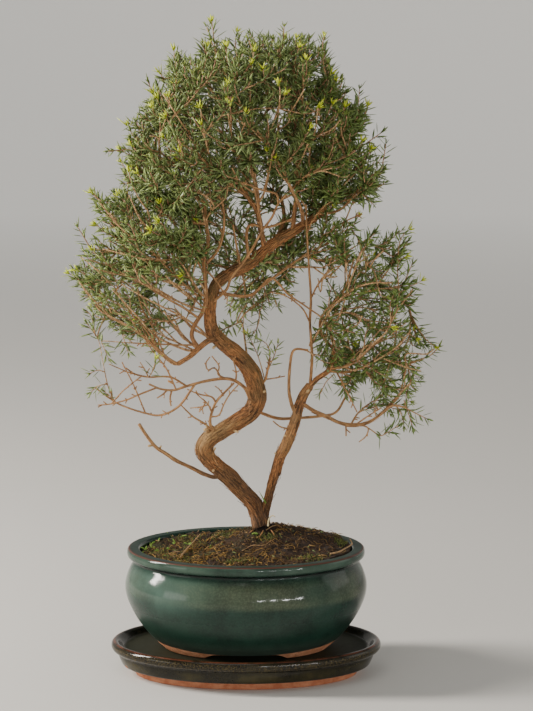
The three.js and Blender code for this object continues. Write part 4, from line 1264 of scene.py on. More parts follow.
threads = Heap()
random = rng(88)
add_threads(threads, limbs["stem"], 620, 3.2, random)
add_threads(threads, limbs["right_stem"], 190, 2.4, random)
for name in ("ochre_limb", "left_riser", "crown_left", "crown_right", "right_fork", "right_low"):
    add_threads(threads, limbs[name], 26, 1.4, random)
LOOSE = [
    [(6, 277, 1), (4, 268, -1), (3, 259, 0)],
    [(-31, 214, -8), (-27, 207, -8), (-21, 203, -6)],
]
for drawn in LOOSE:
    run = drawn_run(drawn, 2.0)
    add_tube(threads, run, 0.55, 4, 1.0, grain=run, lift=0.7, up=run[:, 2], thick=2.0)
print(threads.count, "corners on the threads")

# %% [markdown]
# ### Stubs and knobs
#
# Old cuts leave pale stubs on the stems. Each is a short tube from the wood outwards, with a
# rougher, paler face.

# %% Stubs
STUBS = [
    ((-33, 247, 2), (-42, 244, -4), 1.5), ((-36, 244, 2), (-40, 249, -5), 1.3),
    ((-16, 245, 3), (-8, 242, -7), 1.2), ((-31, 206, 3), (-33, 203, -6), 1.2),
    ((-33, 222, 2), (-31, 226, -8), 1.1), ((42, 238, -6), (38.5, 238.5, -10), 1.1),
    ((31, 219, -2), (29, 221, -6), 0.9), ((-92, 229, -12), (-98, 228, -15), 1.2),
    ((-86, 226, -12), (-85, 228, -15), 0.9), ((14, 280, 10), (19, 283, 2), 1.2),
    ((58, 280, -10), (63, 284, -16), 1.3), ((-28, 330, -4), (-33, 326, -12), 1.3),
]
stubs = Heap()
for foot, end, radius in STUBS:
    foot, end = along_sight(*foot), along_sight(*end)
    run = np.linspace(foot, end, 6)
    swell = radius * np.array([1.3, 1.1, 1.0, 1.0, 1.05, 0.9])
    add_tube(stubs, run, swell, 9, 0.25, pale=np.linspace(0, 1, 6))
print(len(STUBS), "stubs")

# %% Bark finish
bark, wire, place = new_finish("manuka_bark")
grain = wire.named("grain", 1)
lift, up, thick = [wire.named(name) for name in ("lift", "up", "thick")]
facing = wire.node("NewGeometry", None, None, output=1)
faces_up = facing.part(2)
strings = (grain * (1.0, 1.0, 0.09)).grain(1.5, 5.0, 0.66, 0.4)
hairs = (grain * (1.0, 1.0, 0.045)).grain(4.5, 3.0, 0.6)
light = strings.over(0.34, 0.68)
warm = light.mix((64, 36, 20), (212, 144, 84))
brown = light.mix((46, 32, 21), (156, 114, 72))
tan = light.mix((128, 98, 60), (182, 146, 94))
pale = light.mix((122, 84, 50), (212, 164, 110))
patches = place.grain(38.0, 3.0).over(0.4, 0.62)
# The knee's tan, with dark specks, is partly the bark's own colour and partly a painted highlight: it is
# kept to the knee's upper faces on its left side, where the key light falls.
knee = band(up, 219.0, 256.0, 7.0) * faces_up.over(-0.45, 0.35) * (1 - place.part(0).over(0.0, 0.012))
right_top = up.over(200.0, 240.0) * (1 - up.over(284.0, 300.0))
right_top = place.part(0).over(0.026, 0.038) * right_top
specks = knee.most(right_top) * place.grain(420.0, 3.0).over(0.56, 0.68)
upper = up.over(256.0, 300.0) * thick.over(2.6, 4.0)
olive = upper * place.grain(30.0, 3.0).over(0.34, 0.6) * faces_up.over(-0.5, 0.3)
slim = (1 - thick.over(1.2, 3.0)) * (place.grain(24.0, 2.0).over(0.35, 0.65) * 0.4 + 0.55)
# painted shade: the lower stems are darker on the faces that turn to the right, away from the key light
painted_shade_right = (1 - up.over(186.0, 226.0)) * facing.part(0).over(-0.5, 0.45)
colour = coated(
    (patches * 0.75).mix(warm, brown),
    (knee * 0.85, tan),
    (right_top * place.grain(44.0, 3.0).over(0.36, 0.56) * 0.5, tan),
    (specks * 0.7, (66, 48, 32)),
    (olive * 0.6, (104, 88, 50)),
    (slim, pale),
    # painted shade: the bark is darker where its relief sinks into fissures, less so on the knee
    (lift.over(0.46, 0.32) * (0.75 - knee * 0.45), (42, 24, 13)),
    # painted shade: the stems darken towards their foot at the soil
    ((1 - up.over(146.0, 186.0)) * 0.62, (50, 38, 29)),
    (painted_shade_right * 0.6, (32, 25, 20)),
    (hairs.over(0.58, 0.72) * 0.45, (216, 172, 118)),
)
close_finish(wire, colour, 0.8, strings + hairs * 0.5 + lift, 0.7, 0.0014)
trunk = stems.piece("stems_bark", bark, "bark")
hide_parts("tree_wood")
branches.piece("branches_bark", bark, "bark")
threads.piece("bark_threads", bark, "bark")

# %% Stub finish
cut_wood, wire, place = new_finish("cut_wood")
pale = wire.named("pale")
rings = place.grain(700.0, 3.0).over(0.35, 0.65)
colour = pale.mix(rings.mix((96, 66, 40), (140, 104, 66)), (200, 168, 120))
close_finish(wire, colour, 0.8, rings, 0.5, 0.0006)
stubs.piece("cut_stubs", cut_wood, "bark")

# %% [markdown]
# ## Where the crown reaches
#
# The crown is three masses of fine shoots, the big top, the left side and the right side, and a
# thin fourth one behind its middle. Each mass has an outline as it is seen from the front and a
# depth. Shoot tips are scattered through it, thickest near its skin, because shoots grow towards
# the light. A window in the middle stays open at the front, where the photograph shows bare
# branches, and two places beside it are thin. The outermost tufts, and the bare twigs that show
# against the leaves, are drawn one by one.

# %% Masses of shoots as they are drawn
MASSES = [
    ("top", 84.0, 4.0, 130, 960, [
        (-122, 516), (-117, 548), (-102, 573), (-95, 588), (-87, 600), (-72, 620), (-36, 640), (-8, 640),
        (24, 640), (78, 640), (84, 616), (100, 592), (117, 572), (134, 526), (146, 504), (141, 488),
        (122, 474), (88, 466), (60, 478), (24, 486), (-4, 476), (-34, 452), (-66, 460), (-100, 472),
        (-124, 490),
    ]),
    ("left", 56.0, -6.0, 60, 290, [
        (-158, 484), (-128, 490), (-100, 490), (-50, 476), (-38, 436), (-34, 400), (-44, 368), (-66, 336),
        (-104, 326), (-136, 344), (-161, 354), (-172, 384), (-176, 402), (-166, 424), (-152, 440),
        (-158, 464),
    ]),
    ("right", 62.0, 6.0, 44, 190, [
        (84, 470), (100, 460), (134, 449), (163, 451), (166, 430), (160, 410), (174, 389), (170, 362),
        (190, 326), (184, 308), (168, 270), (150, 248), (130, 272), (112, 290), (100, 262), (90, 300),
        (70, 320), (66, 356), (72, 390), (76, 424), (72, 448),
    ]),
    ("middle", 34.0, 44.0, 24, 120, [
        (-60, 480), (60, 486), (86, 470), (74, 420), (64, 380), (30, 360), (10, 330), (-20, 350),
        (-46, 400),
    ]),
]
HEART = np.array([10.0, 20.0, 400.0])
WINDOW = [
    (-46, 466), (-24, 496), (20, 506), (52, 496), (62, 420), (52, 330), (-30, 330), (-40, 420),
]
THIN_PLACES = [
    [(-104, 350), (-98, 384), (-78, 408), (-38, 416), (-33, 350), (-48, 328), (-84, 330)],
    [(68, 330), (66, 404), (92, 410), (102, 352), (86, 318)],
]
TUFTS = [
    (-34, 652), (-9, 641), (-39, 627), (-72, 623), (-20, 627), (-86, 601), (-92, 581), (-78, 577),
    (-18, 589), (-94, 566), (-118, 548), (-46, 566), (-44, 549), (-16, 570), (0, 561), (-67, 522),
    (-124, 524), (-124, 511), (-117, 502), (-108, 500), (-154, 481), (-127, 478), (8, 622), (53, 626),
    (78, 637), (60, 614), (33, 590), (72, 566), (86, 570), (99, 566), (122, 568), (64, 545), (115, 533),
    (124, 525), (29, 515), (86, 467), (112, 457), (163, 444), (159, 417), (175, 393), (188, 328),
    (145, 347), (-176, 400), (-168, 404), (-94, 443), (-153, 423), (-63, 398), (-86, 452),
]
print(len(MASSES), "masses,", len(TUFTS), "tufts")

# %% Bare twigs against the leaves
DRAWN_TWIGS = [
    [(-33, 506), (-37, 520), (-43, 544), (-45, 561)], [(-51, 536), (-61, 546), (-72, 563), (-83, 580)],
    [(-55, 500), (-61, 513), (-67, 532)], [(-84, 521), (-88, 536), (-96, 538)],
    [(-11, 523), (-15, 542), (-18, 560)], [(-11, 531), (-6, 539), (-1, 551)],
    [(30, 530), (32, 553), (34, 578)], [(35, 555), (45, 563), (58, 584)],
    [(64, 524), (69, 543), (72, 566)], [(63, 530), (68, 537), (85, 544), (94, 554)],
    [(49, 502), (55, 514), (62, 530)], [(36, 475), (47, 486), (61, 499), (86, 506)],
    [(18, 481), (24, 506), (26, 520)], [(8, 482), (-6, 492), (-14, 506)],
    [(-54, 366), (-87, 382), (-108, 401), (-122, 403)],
    [(-38, 336), (-46, 345), (-65, 358), (-97, 374), (-125, 390)],
    [(-55, 323), (-84, 334), (-97, 344), (-109, 358), (-133, 384)], [(-50, 323), (-74, 334), (-97, 345)],
    [(-69, 309), (-87, 321), (-100, 334), (-117, 348), (-146, 363)], [(-50, 326), (-65, 339), (-82, 363)],
    [(-49, 325), (-60, 336), (-74, 352)], [(-38, 337), (-54, 347), (-71, 366)],
    [(-68, 356), (-74, 353), (-89, 353)], [(-52, 372), (-68, 385), (-80, 398)],
    [(-46, 382), (-55, 395), (-63, 409)], [(-55, 395), (-52, 404), (-50, 414)],
    [(-138, 360), (-152, 374), (-167, 392)], [(-106, 431), (-125, 446), (-146, 471)],
    [(-97, 446), (-106, 455), (-117, 479)], [(-133, 388), (-148, 403), (-165, 417)],
    [(-82, 414), (-101, 415), (-122, 420), (-143, 425)],
    [(65, 329), (86, 366), (108, 385), (127, 391), (145, 391)], [(92, 355), (105, 395), (116, 423)],
    [(88, 344), (102, 345), (112, 350), (116, 358)],
    [(102, 309), (115, 318), (128, 331), (140, 342), (151, 363), (167, 385)],
    [(110, 304), (134, 316), (153, 329), (165, 344)], [(122, 408), (128, 414), (137, 423)],
    [(135, 316), (159, 307), (175, 303)], [(160, 320), (180, 320), (188, 325)],
    [(75, 382), (77, 395), (88, 406)], [(49, 407), (65, 407), (80, 406)], [(142, 268), (164, 291)],
]
TWIG_PARTS = [part for drawn in DRAWN_TWIGS for part in zip(drawn, drawn[1:])]


def gap_to(lines, x, y):
    """How far a drawn place is from the nearest of some straight lines."""
    best = 1e9
    for (x0, y0), (x1, y1) in lines:
        dx, dy = x1 - x0, y1 - y0
        part = min(max(((x - x0) * dx + (y - y0) * dy) / (dx * dx + dy * dy), 0), 1)
        best = min(best, math.hypot(x - x0 - part * dx, y - y0 - part * dy))
    return best


print(len(DRAWN_TWIGS), "drawn twigs in", len(TWIG_PARTS), "parts")


# %% Places in a mass
def inside(outline, x, y):
    """Whether a point lies inside an outline."""
    odd = False
    for (x0, y0), (x1, y1) in zip(outline, outline[1:] + outline[:1]):
        if (y0 > y) != (y1 > y) and x < (x1 - x0) * (y - y0) / (y1 - y0) + x0:
            odd = not odd
    return odd


def edge_gap(outline, x, y):
    """How far a point is from an outline."""
    return gap_to(zip(outline, outline[1:] + outline[:1]), x, y)


ROUNDING = 62


def bulge_at(outline, half_depth, x, y):
    """How far a mass reaches to the front and to the back at a drawn point."""
    gap = edge_gap(outline, x, y) if inside(outline, x, y) else 0.0
    return half_depth * math.sqrt(1 - (1 - min(gap / ROUNDING, 1)) ** 2)


# %% Shoot tips
WINDOW_BACK, CLEAR_OF_TWIGS = 12, 5


def shoot_tips(outline, half_depth, middle_depth, count, margin, skin, random, thin=True):
    """Scattered tips in one mass, at least a margin inside it. A small skin keeps to its skin."""
    xs, ys = zip(*outline)
    tips = []
    while len(tips) < count:
        x, y = random.uniform(min(xs), max(xs)), random.uniform(min(ys), max(ys))
        if not inside(outline, x, y) or edge_gap(outline, x, y) < margin:
            continue
        side = random.choice((-1, 1))
        reach = random.random() ** (skin if random.random() < 0.6 else 1.2)
        depth = middle_depth + side * bulge_at(outline, half_depth, x, y) * reach
        if thin and depth < WINDOW_BACK and inside(WINDOW, x, y):
            continue
        if thin and random.random() < 0.75 and any(inside(place, x, y) for place in THIN_PLACES):
            continue
        before_twigs = thin and depth < middle_depth and random.random() < 0.8
        if before_twigs and gap_to(TWIG_PARTS, x, y) < CLEAR_OF_TWIGS:
            continue
        tips.append(along_sight(x, y, depth))
    return tips


LIME_SHARE = 0.03
random = rng(31)
twig_tips, leafy_tips = [], []
for _, half, middle, twigs, leafy, outline in MASSES:
    for tip in shoot_tips(outline, half * 0.8, middle, twigs, 14, 0.7, random, thin=False):
        twig_tips.append((np.linalg.norm(tip - HEART), tip))
    for tip in shoot_tips(outline, half, middle, leafy, 3, 0.45, random):
        leafy_tips.append((np.linalg.norm(tip - HEART), tip, random.random() < LIME_SHARE))


def front_skin(across, up, part=0.95):
    """The place on a mass's front skin, or part of the way to it, behind a drawn point."""
    gaps = [0 if inside(mass[5], across, up) else edge_gap(mass[5], across, up) for mass in MASSES[:3]]
    _, half, middle, _, _, outline = MASSES[gaps.index(min(gaps))]
    return along_sight(across, up, middle - part * bulge_at(outline, half, across, up) - 2)


for across, up in TUFTS:
    tip = front_skin(across, up)
    leafy_tips.append((np.linalg.norm(tip - HEART) + 6, tip, True))
twig_tips.sort(key=lambda entry: entry[0])
leafy_tips.sort(key=lambda entry: entry[0])
print(len(twig_tips), "twig tips and", len(leafy_tips), "leafy tips")

# %% [markdown]
# ## How the shoots grow
#
# A shoot starts on the nearest wood, preferring wood that already runs its way, and curves up and
# out to its tip. Tips are served from the inside out, and each new shoot becomes wood for the
# next, so the twigs fork as real ones do. The solid sprays are served first: their place and
# direction are read from their solids, so the fine foliage stands where they stand.

# %% Wood that shoots start from
class Wood:
    """Places on the wood, with the way it runs there and its size."""

    def __init__(self):
        self.places = np.zeros((0, 3))
        self.ways = np.zeros((0, 3))
        self.sizes = np.zeros(0)

    def add(self, run, sizes):
        """More wood, of one size or with a size at each place."""
        self.places = np.vstack([self.places, run])
        self.ways = np.vstack([self.ways, unit(np.gradient(run, axis=0))])
        self.sizes = np.concatenate([self.sizes, np.broadcast_to(sizes, len(run))])

    def start_for(self, tip, least=0.0):
        """The best start for a shoot to a tip, at least so far off where that is possible."""
        gaps = tip - self.places
        reach = np.linalg.norm(gaps, axis=1)
        along = (gaps * self.ways).sum(axis=1) / np.maximum(reach, 1e-6)
        short = np.maximum(least - reach, 0)
        best = int(np.argmin(reach * (1.6 - 0.6 * along) + 4 * short))
        return self.places[best], self.ways[best], self.sizes[best]


def bezier(points, count):
    """A cubic curve through its first and last point."""
    t = np.linspace(0, 1, count)[:, None]
    a, b, c, d = points
    return a * (1 - t) ** 3 + 3 * b * t * (1 - t) ** 2 + 3 * c * t ** 2 * (1 - t) + d * t ** 3


def grow(wood, tip, end_way, random, least, wander=0.07):
    """The run of one new shoot and the wood's size at its start."""
    start, way, size = wood.start_for(tip, least)
    span = np.linalg.norm(tip - start)
    sway = random.normal(0, wander * span, 3)
    run = bezier([start, start + way * span * 0.3 + sway, tip - end_way * span * 0.35, tip], 8)
    return run, size


# %% Where the solid sprays stand
def spray_axis(node):
    """The foot and the tip of a solid spray, in millimetres."""
    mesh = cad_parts[node].data
    corners = np.empty(len(mesh.vertices) * 3)
    mesh.vertices.foreach_get("co", corners)
    corners = (corners.reshape(-1, 3) - MIDDLE) / MM
    middle = corners.mean(axis=0)
    way = np.linalg.svd(corners - middle, full_matrices=False)[2][0]
    if way.dot(middle - HEART) < 0:
        way = -way
    along = (corners - middle) @ way
    return middle + way * (along.min() + 4), middle + way * (along.max() - 6)


BARE_LIMBS = ("bare_branch", "little_spur", "right_cross", "long_sweep_low")
STEM_CROWN, LIMB_CROWN = 300, 240
wood = Wood()
for name, run in limbs.items():
    if name in BARE_LIMBS:
        continue
    crown_part = run[run[:, 2] > (STEM_CROWN if "stem" in name else LIMB_CROWN)]
    if len(crown_part) > 3:
        skip = len(crown_part) // 4 if "stem" not in name else 0
        wood.add(crown_part[skip::3, :3], crown_part[skip::3, 3])
print(len(wood.sizes), "places on the limbs")


# %% Shoots of the solid sprays
TWIG_SIZE, SHOOT_SIZE = 0.9, 0.75
shoots = []
spray_nodes = sorted(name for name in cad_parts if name.startswith("spray_"))
for node in spray_nodes:
    foot, tip = spray_axis(node)
    way = unit(tip - foot)
    near, _, size = wood.start_for(foot)
    run = np.vstack([bezier([near, (near + foot) / 2, foot - way * 4, foot], 5)[:-1],
                     np.linspace(foot, tip, 7)])
    shoots.append((run, min(size, 1.3), node, len(shoots) % 9 == 4))
for run, *_ in shoots:
    wood.add(run[3:-1], TWIG_SIZE)
print(len(shoots), "shoots where the solid sprays stand")

# %% Twigs and shoots to the tips
random = rng(77)
bare_twigs = []
for drawn in DRAWN_TWIGS:
    parts = np.linspace(0.55, 1.03, len(drawn))
    points = [front_skin(across, up, part) for (across, up), part in zip(drawn, parts)]
    near, _, size = wood.start_for(points[0])
    run = through([near] + points, 4.0)
    bare_twigs.append((run, min(size, 1.3)))
    wood.add(run[3:], TWIG_SIZE)
for _, tip in twig_tips:
    outward = unit(tip - HEART)
    end_way = unit(outward + np.array([0, 0, 0.3]) + random.normal(0, 0.2, 3))
    run, size = grow(wood, tip, end_way, random, 30)
    bare_twigs.append((run, min(size, 1.25)))
    wood.add(run[3:], TWIG_SIZE)
for _, tip, lime in leafy_tips:
    outward = unit(tip - HEART)
    end_way = unit(outward * 0.8 + np.array([0, 0, 0.4]) + random.normal(0, 0.25, 3))
    run, size = grow(wood, tip, end_way, random, 40 if lime else 28, 0.05)
    shoots.append((run, min(size, 1.0), "", lime))
    wood.add(run[2:-3], SHOOT_SIZE)
print(len(bare_twigs), "twigs and", len(shoots), "shoots")

# %% Sprigs drawn one by one
SPRIGS = [
    [(-141, 302, -12), (-148, 304, -14), (-156, 301, -16)],
    [(-139, 290, -10), (-148, 288, -12), (-155, 282, -12)],
    [(-133, 273, -8), (-136, 278, -12), (-142, 283, -16)],
    [(-97, 297, -40), (-93, 304, -44), (-90, 315, -46)],
    [(158, 274, -30), (162, 262, -32), (167, 246, -32)],
    [(150, 270, -26), (156, 258, -28), (158, 248, -30)],
    [(88, 300, -10), (80, 292, -14), (74, 280, -16)],
    [(96, 300, -8), (98, 286, -12), (106, 276, -14)],
    [(19, 294, 6), (12, 318, 10), (2, 340, 12)],
    [(24, 312, -2), (22, 328, 4), (12, 336, 6)],
    [(22, 304, 2), (28, 318, 10), (32, 330, 14)],
    [(130, 258, -22), (128, 270, -20), (136, 280, -18)],
]
for k, drawn in enumerate(SPRIGS):
    shoots.append((drawn_run(drawn, 3.0), 0.7, "", k in (3, 8)))
lengths = [np.linalg.norm(run[-1] - run[0]) for run, *_ in shoots]
print(len(shoots), "shoots, in the mean", round(float(np.mean(lengths)), 1), "mm long")

# %% [markdown]
# ## Leaves
#
# A manuka leaf is a stiff little pointed blade, about ten millimetres long and two wide, with a
# keel below. Each is a closed shape of seven corners: its foot, two low and two high on its
# edges, its tip and its keel. Leaves stand all round the shoot in a spiral, lean forward, and
# get smaller and paler towards the tip, where the youngest are lime green. All the leaves of a
# shoot are worked out in one go.

# %% Leaf shapes
LEAF_LOW, LEAF_HIGH = 0.34, 0.7
LEAF_PARTS = [0, LEAF_LOW, LEAF_LOW, LEAF_HIGH, LEAF_HIGH, 1.0, 0.5]
LEAF_FACES = [
    (0, 2, 1), (1, 2, 4, 3), (3, 4, 5), (2, 0, 6), (4, 2, 6), (5, 4, 6), (3, 5, 6), (1, 3, 6), (0, 1, 6),
]


def add_leaves(heap, feet, ways, stems, lengths, widths, tones, young):
    """Many leaves at once: their feet, the ways they point and the stems they grow on."""
    across = unit(np.cross(stems, ways))
    under = np.cross(across, ways)
    length, width = lengths[:, None], widths[:, None]
    low = feet + ways * length * LEAF_LOW
    high = feet + ways * length * LEAF_HIGH + under * length * 0.015
    corners = np.stack([
        feet,
        low + across * width,
        low - across * width,
        high + across * width * 0.8,
        high - across * width * 0.8,
        feet + ways * length + under * length * 0.05,
        feet + ways * length * 0.5 + under * (width * 0.5 + 0.1),
    ], axis=1)
    count, each = len(feet), len(LEAF_PARTS)
    faces = [[corner + each * k for corner in face] for k in range(count) for face in LEAF_FACES]
    tone, young = np.repeat(tones, each), np.repeat(young, each)
    heap.add(corners, faces, tone=tone, young=young, blade=np.tile(LEAF_PARTS, count))


# %% Leaves along a shoot
LEAF_TURN = 2.4


LEAF_SPACING = 2.1


def leaves_on(heap, run, leafy, random, lime):
    """Leaves along the outer part of a shoot's run, and a tuft at its tip."""
    gone = gone_along(run)
    whole = gone[-1]
    count = max(int(min(leafy, whole * 0.92) / LEAF_SPACING), 5)
    places = whole - 1.5 - (np.arange(count) + random.uniform(-0.4, 0.4, count)) * LEAF_SPACING
    tuft = 5 if lime else 4
    places = np.concatenate([np.clip(places, whole * 0.06, whole), np.full(tuft, whole - 0.3)])
    total = len(places)
    stems = unit(rows_at(places, gone, np.gradient(run, axis=0)))
    feet = rows_at(places, gone, run)
    helper = np.where(np.abs(stems[:, 1:2]) < 0.9, [[0.0, 1.0, 0.0]], [[1.0, 0.0, 0.0]])
    side = unit(np.cross(stems, helper))
    other = np.cross(stems, side)
    turn = np.arange(total) * LEAF_TURN + random.uniform(0, 6.3) + random.normal(0, 0.2, total)
    outward = np.cos(turn)[:, None] * side + np.sin(turn)[:, None] * other
    age = np.clip((whole - places) / 16, 0, 1)
    lean = np.radians(38 + 24 * age + random.normal(0, 10, total))
    lean[-tuft:] = np.radians(random.uniform(14, 36, tuft))
    ways = np.cos(lean)[:, None] * stems + np.sin(lean)[:, None] * outward
    lengths = 10.6 + 3.8 * age + random.normal(0, 1.9, total)
    lengths[-tuft:] = random.uniform(6.5, 9.5, tuft) if lime else random.uniform(4.5, 8, tuft)
    widths = 0.94 + 0.3 * age
    widths[-tuft:] = 0.85 if lime else 0.62
    tones = np.clip(0.6 * random.random() + 0.4 * random.random(total), 0, 1)
    fresh = 1.0 if lime else random.uniform(0.0, 0.3)
    young = np.clip(1 - (whole - places) / 6, 0, 1) * fresh
    add_leaves(heap, feet, ways, stems, np.clip(lengths, 4.0, 16.0), widths, tones, young)
    return total


# %% Every shoot with its leaves
TOP_LOW, TOP_HALF = 470, 150


def region(run):
    """The part of the crown that a shoot belongs to, and its side, front or back."""
    x, y, z = run[-1]
    if z > TOP_LOW and abs(x) < TOP_HALF:
        part = "top_left" if x < 0 else "top_right"
    else:
        part = "left" if x < 10 else "right"
    return part, part + ("_front" if y < 0 else "_back")


leaf_heaps, twig_heaps, spray_home = defaultdict(Heap), defaultdict(Heap), defaultdict(list)
random = rng(404)
leaves = 0
for run, size in bare_twigs:
    part, _ = region(run)
    add_tube(twig_heaps[part], run, np.linspace(size, 0.62, len(run)), 6, young=0.2)
for run, size, home, lime in shoots:
    part, side = region(run)
    if home:
        spray_home[side].append(home)
    base = min(size, 0.65 + 0.012 * np.linalg.norm(run[-1] - run[0]))
    radii = np.linspace(base, 0.42, len(run))
    add_tube(twig_heaps[part], run, radii, 3, young=np.linspace(0.1, 1, len(run)))
    leaves += leaves_on(leaf_heaps[side], run, random.uniform(22, 36), random, lime)
print(leaves, "leaves in", len(leaf_heaps), "pieces")

# %% Leaf and twig finishes
leaf_green, wire, place = new_finish("leaf_green")
tone, young, blade = [wire.named(name) for name in ("tone", "young", "blade")]
green = coated(
    tone.mix((70, 92, 38), (156, 174, 98)),
    # painted highlight: scattered pale grey-green patches stand in for the light's sheen on the leaves
    (place.grain(240.0, 3.0).over(0.42, 0.68) * 0.4, (174, 188, 134)),
    # painted shade: leaves on the right of the crown, away from the key light, are darker and greener
    (place.part(0).over(0.02, 0.1) * 0.5, (92, 120, 34)),
    # painted shade: leaves are darkened towards the top of the crown, to temper the light that falls
    # there
    (place.part(2).over(0.42, 0.58) * 0.3, (76, 90, 42)),
    (blade.over(0.82, 1.0) * 0.3, (156, 136, 80)),
    (young.over(0.0, 0.9), (200, 212, 50)),
)
close_finish(wire, green, 0.44, place.grain(1400.0, 2.0), 0.15, 0.0003)
for part, heap in sorted(leaf_heaps.items()):
    made = heap.piece("leaves_" + part, leaf_green, "leaf")
    if part in spray_home:
        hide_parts(*spray_home[part])

twig_bark, wire, place = new_finish("twig_bark")
young = wire.named("young")
streak = (place * (1.0, 1.0, 0.3)).grain(700.0, 3.0).over(0.35, 0.7)
brown = streak.mix((132, 97, 62), (214, 172, 122))
red = streak.mix((140, 95, 68), (210, 162, 128))
close_finish(wire, young.over(0.35, 0.9).mix(brown, red), 0.6, streak, 0.3, 0.0003)
for part, heap in sorted(twig_heaps.items()):
    heap.piece("twigs_" + part, twig_bark, "bark")

# %% [markdown]
# ## What lies on the soil
#
# The soil hardly shows: it is covered with dry curled rootlets and shreds of bark, golden at the
# left and the front and redder behind, with moss, a few green blades and fallen leaves. Rootlets
# are thin tubes that bend at random and follow the crumbs. Everything rests on the soil's height.

# %% Rootlets
steps = 7
random = rng(909)
rootlets = Heap()
places = np.stack(soil_places(2000, random, 0.985), axis=1)
for x, y in places:
    golden = math.exp(-(((x + 40) / 75) ** 2) - ((y + 45) / 70) ** 2)
    if random.random() > 0.32 + 0.68 * golden or not clear_of_trunk(x, y, 10):
        continue
    length = random.uniform(4, 15)
    bend = random.normal(0, 0.16)
    turn = random.uniform(0, 2 * math.pi)
    arch_height = 0.6 + 2.6 * random.random() ** 3
    points = []
    for step in range(steps):
        part = step / (steps - 1)
        points.append((x, y, crumb_height(x, y) + 0.35 + arch_height * math.sin(math.pi * part)))
        x += math.cos(turn) * length / steps
        y += math.sin(turn) * length / steps
        turn += bend * length / steps + random.normal(0, 0.25)
    reach = math.hypot(points[-1][0] / (RIM_LENGTH - 15), points[-1][1] / (RIM_DEPTH - 15))
    if reach > 1.0:
        continue
    thin = random.uniform(0.2, 0.42)
    tone = np.clip(random.random() * 0.8 + 0.2 * golden, 0, 1)
    add_tube(rootlets, points, np.linspace(thin, thin * 0.6, steps), 3, 1.0, tone=tone)
rootlet_finish, wire, place = new_finish("dry_rootlet")
tone = wire.named("tone")
fleck = place.grain(500.0, 3.0).over(0.3, 0.7)
colour = coated(tone.mix((42, 27, 14), (126, 92, 38)), (tone.over(0.6, 0.95) * fleck, (206, 164, 80)))
close_finish(wire, colour, 0.75, fleck, 0.4, 0.0004)
rootlets.piece("dry_rootlets", rootlet_finish, "soil")

# %% Moss and green blades
random = rng(515)
moss = Heap()
PATCHES = [
    (-86, -6, 17, 26), (-66, -34, 20, 14), (-50, 12, 26, 20), (-20, 28, 22, 14), (-58, 42, 22, 16),
    (20, -6, 12, 8), (60, -44, 16, 10), (96, 8, 8, 18), (-8, -50, 18, 8),
]
for cx, cy, rx, ry in PATCHES:
    for _ in range(150):
        x, y = cx + rx * random.normal(0, 0.5), cy + ry * random.normal(0, 0.5)
        reach = math.hypot(x / (RIM_LENGTH - SOIL_EDGE), y / (RIM_DEPTH - SOIL_EDGE))
        if reach > 0.99 or not clear_of_trunk(x, y, 9):
            continue
        lean = random.normal(0, 0.55, 2)
        tall = random.uniform(1.2, 3.2)
        foot = np.array([x, y, crumb_height(x, y) - 0.3])
        middle = foot + (lean[0] * tall * 0.4, lean[1] * tall * 0.4, tall * 0.6)
        run = np.stack([foot, middle, foot + (lean[0] * tall, lean[1] * tall, tall)])
        add_tube(moss, run, (0.34, 0.26, 0.1), 3, 1.0, tone=random.random())
BLADES = [
    (-94, 126), (-88, 132), (-96, 129), (-104, 120), (-80, 136), (-76, 124), (-82, 118), (-58, 130),
    (-64, 138), (-36, 126), (6, 140), (-100, 124), (-70, 130), (-86, 122),
]
for across, up in BLADES:
    foot = soil_spot(across, up, -0.4)
    for _ in range(3):
        way = unit(random.normal(0, 1, 3) * (1, 1, 0.2) + (0, 0, 0.55))
        tall = random.uniform(5, 10)
        run = foot + np.linspace(0, 1, 5)[:, None] * way * tall
        run[:, 2] -= np.linspace(0, 1, 5) ** 2 * tall * 0.25
        add_tube(moss, run, (0.45, 0.75, 0.8, 0.6, 0.1), 4, 1.0, tone=1.0)
sucker = drawn_run([(20, 171, 4), (17, 176, 2), (13, 183, 0)], 2.0)
add_tube(moss, sucker, np.linspace(0.9, 0.15, len(sucker)), 4, 1.0, tone=1.0)
moss_finish, wire, place = new_finish("moss_green")
tone = wire.named("tone")
colour = coated(
    tone.mix((46, 54, 20), (112, 122, 48)),
    (tone.over(0.97, 1.0), (110, 146, 52)),
    (place.grain(300.0, 3.0).over(0.45, 0.7) * 0.4, (140, 128, 62)),
)
close_finish(wire, colour, 0.65, place.grain(900.0, 2.0), 0.3, 0.0004)
moss.piece("moss_and_blades", moss_finish, "soil")

# %% Fallen leaves
random = rng(616)
fallen = Heap()
xs, ys = soil_places(170, random, 0.96)
keep = np.array([clear_of_trunk(x, y, 12) for x, y in zip(xs, ys)])
xs, ys = xs[keep], ys[keep]
count = len(xs)
turn = random.uniform(0, 2 * math.pi, count)
ways = unit(np.stack([np.cos(turn), np.sin(turn), random.normal(0.06, 0.1, count)], axis=1))
feet = np.array([(x, y, crumb_height(x, y) + 1.1) for x, y in zip(xs, ys)])
upward = np.tile([0.0, 0.0, -1.0], (count, 1)) + random.normal(0, 0.25, (count, 3))
lengths, widths = random.uniform(5, 9, count), random.uniform(0.7, 1.0, count)
tones, young = random.random(count), random.random(count) ** 3
add_leaves(fallen, feet, ways, upward, lengths, widths, tones, young)
fallen_leaf, wire, place = new_finish("fallen_leaf")
tone, young = wire.named("tone"), wire.named("young")
colour = coated(tone.mix((92, 66, 34), (150, 118, 62)), (young.over(0.25, 0.7), (96, 116, 62)))
close_finish(wire, colour, 0.6, place.grain(900.0, 3.0), 0.3, 0.0004)
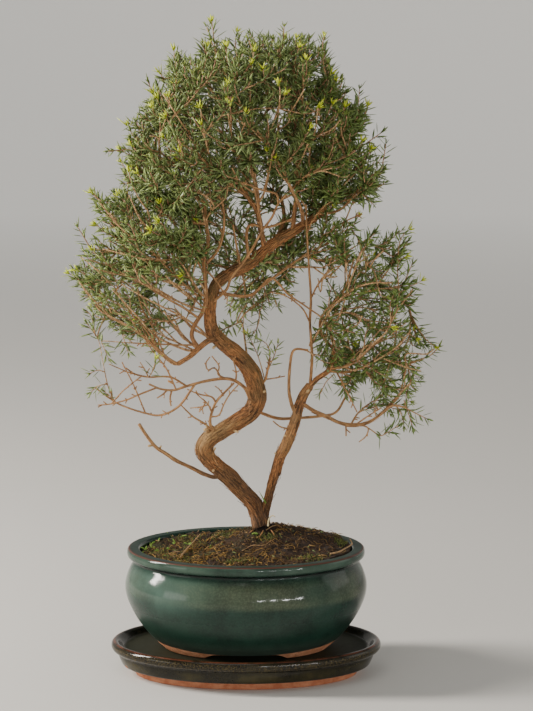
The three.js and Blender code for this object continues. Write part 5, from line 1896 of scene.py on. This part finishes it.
fallen.piece("fallen_leaves", fallen_leaf, "soil")

# %% Fallen twigs and pale roots
litter = Heap()
FALLEN_TWIGS = [
    ([(-66, 114, 2.2), (-60, 121, 2.8), (-53, 128, 3.6), (-46, 135, 5.0)], 0.85),
    ([(84, 118, 2.0), (93, 120, 2.2), (100, 123, 2.6), (106, 127, 3.0), (104, 131, 3.4)], 0.95),
    ([(-88, 117, 0.8), (-76, 120, 1.0), (-66, 122, 0.8)], 0.5),
    ([(20, 143, 0.6), (28, 147, 1.4), (36, 146, 0.8)], 0.6),
    ([(-4, 122, 0.8), (6, 127, 1.4), (18, 128, 1.0), (26, 133, 0.8)], 0.5),
]
for drawn, radius in FALLEN_TWIGS:
    run = through([soil_spot(across, up, lift) for across, up, lift in drawn], 2.0)
    add_tube(litter, run, np.linspace(radius, radius * 0.6, len(run)), 7, 0.4, pale=0.5)
hook = drawn_run([(22, 148, 4), (22.5, 153, 3), (24, 157, 2), (27, 158.5, 1), (29, 157, 0)], 1.0)
add_tube(litter, hook, np.linspace(0.95, 0.5, len(hook)), 7, 0.5, pale=0.95)
ROOT_LIFTS = (2.4, 0.6, -1.2)
ROOTS = [
    [(10, 152), (2, 148), (-8, 146)], [(12, 150), (8, 144), (0, 139)], [(16, 150), (17, 142), (12, 136)],
    [(22, 151), (30, 148), (38, 147)], [(20, 150), (25, 143), (30, 137)],
]
for drawn in ROOTS:
    run = through([soil_spot(*place, lift) for place, lift in zip(drawn, ROOT_LIFTS)], 1.2)
    add_tube(litter, run, np.linspace(1.5, 0.5, len(run)), 8, 0.4, pale=0.1)
litter_finish, wire, place = new_finish("dry_wood")
pale = wire.named("pale")
streak = place.grain(420.0, 4.0).over(0.32, 0.68)
colour = coated(streak.mix((92, 60, 34), (160, 114, 66)), (pale.over(0.3, 1.0), (214, 196, 150)))
close_finish(wire, colour, 0.75, streak, 0.5, 0.0005)
litter.piece("fallen_twigs", litter_finish, "soil")

print("solids ", np.round(solid_box, 4).tolist())
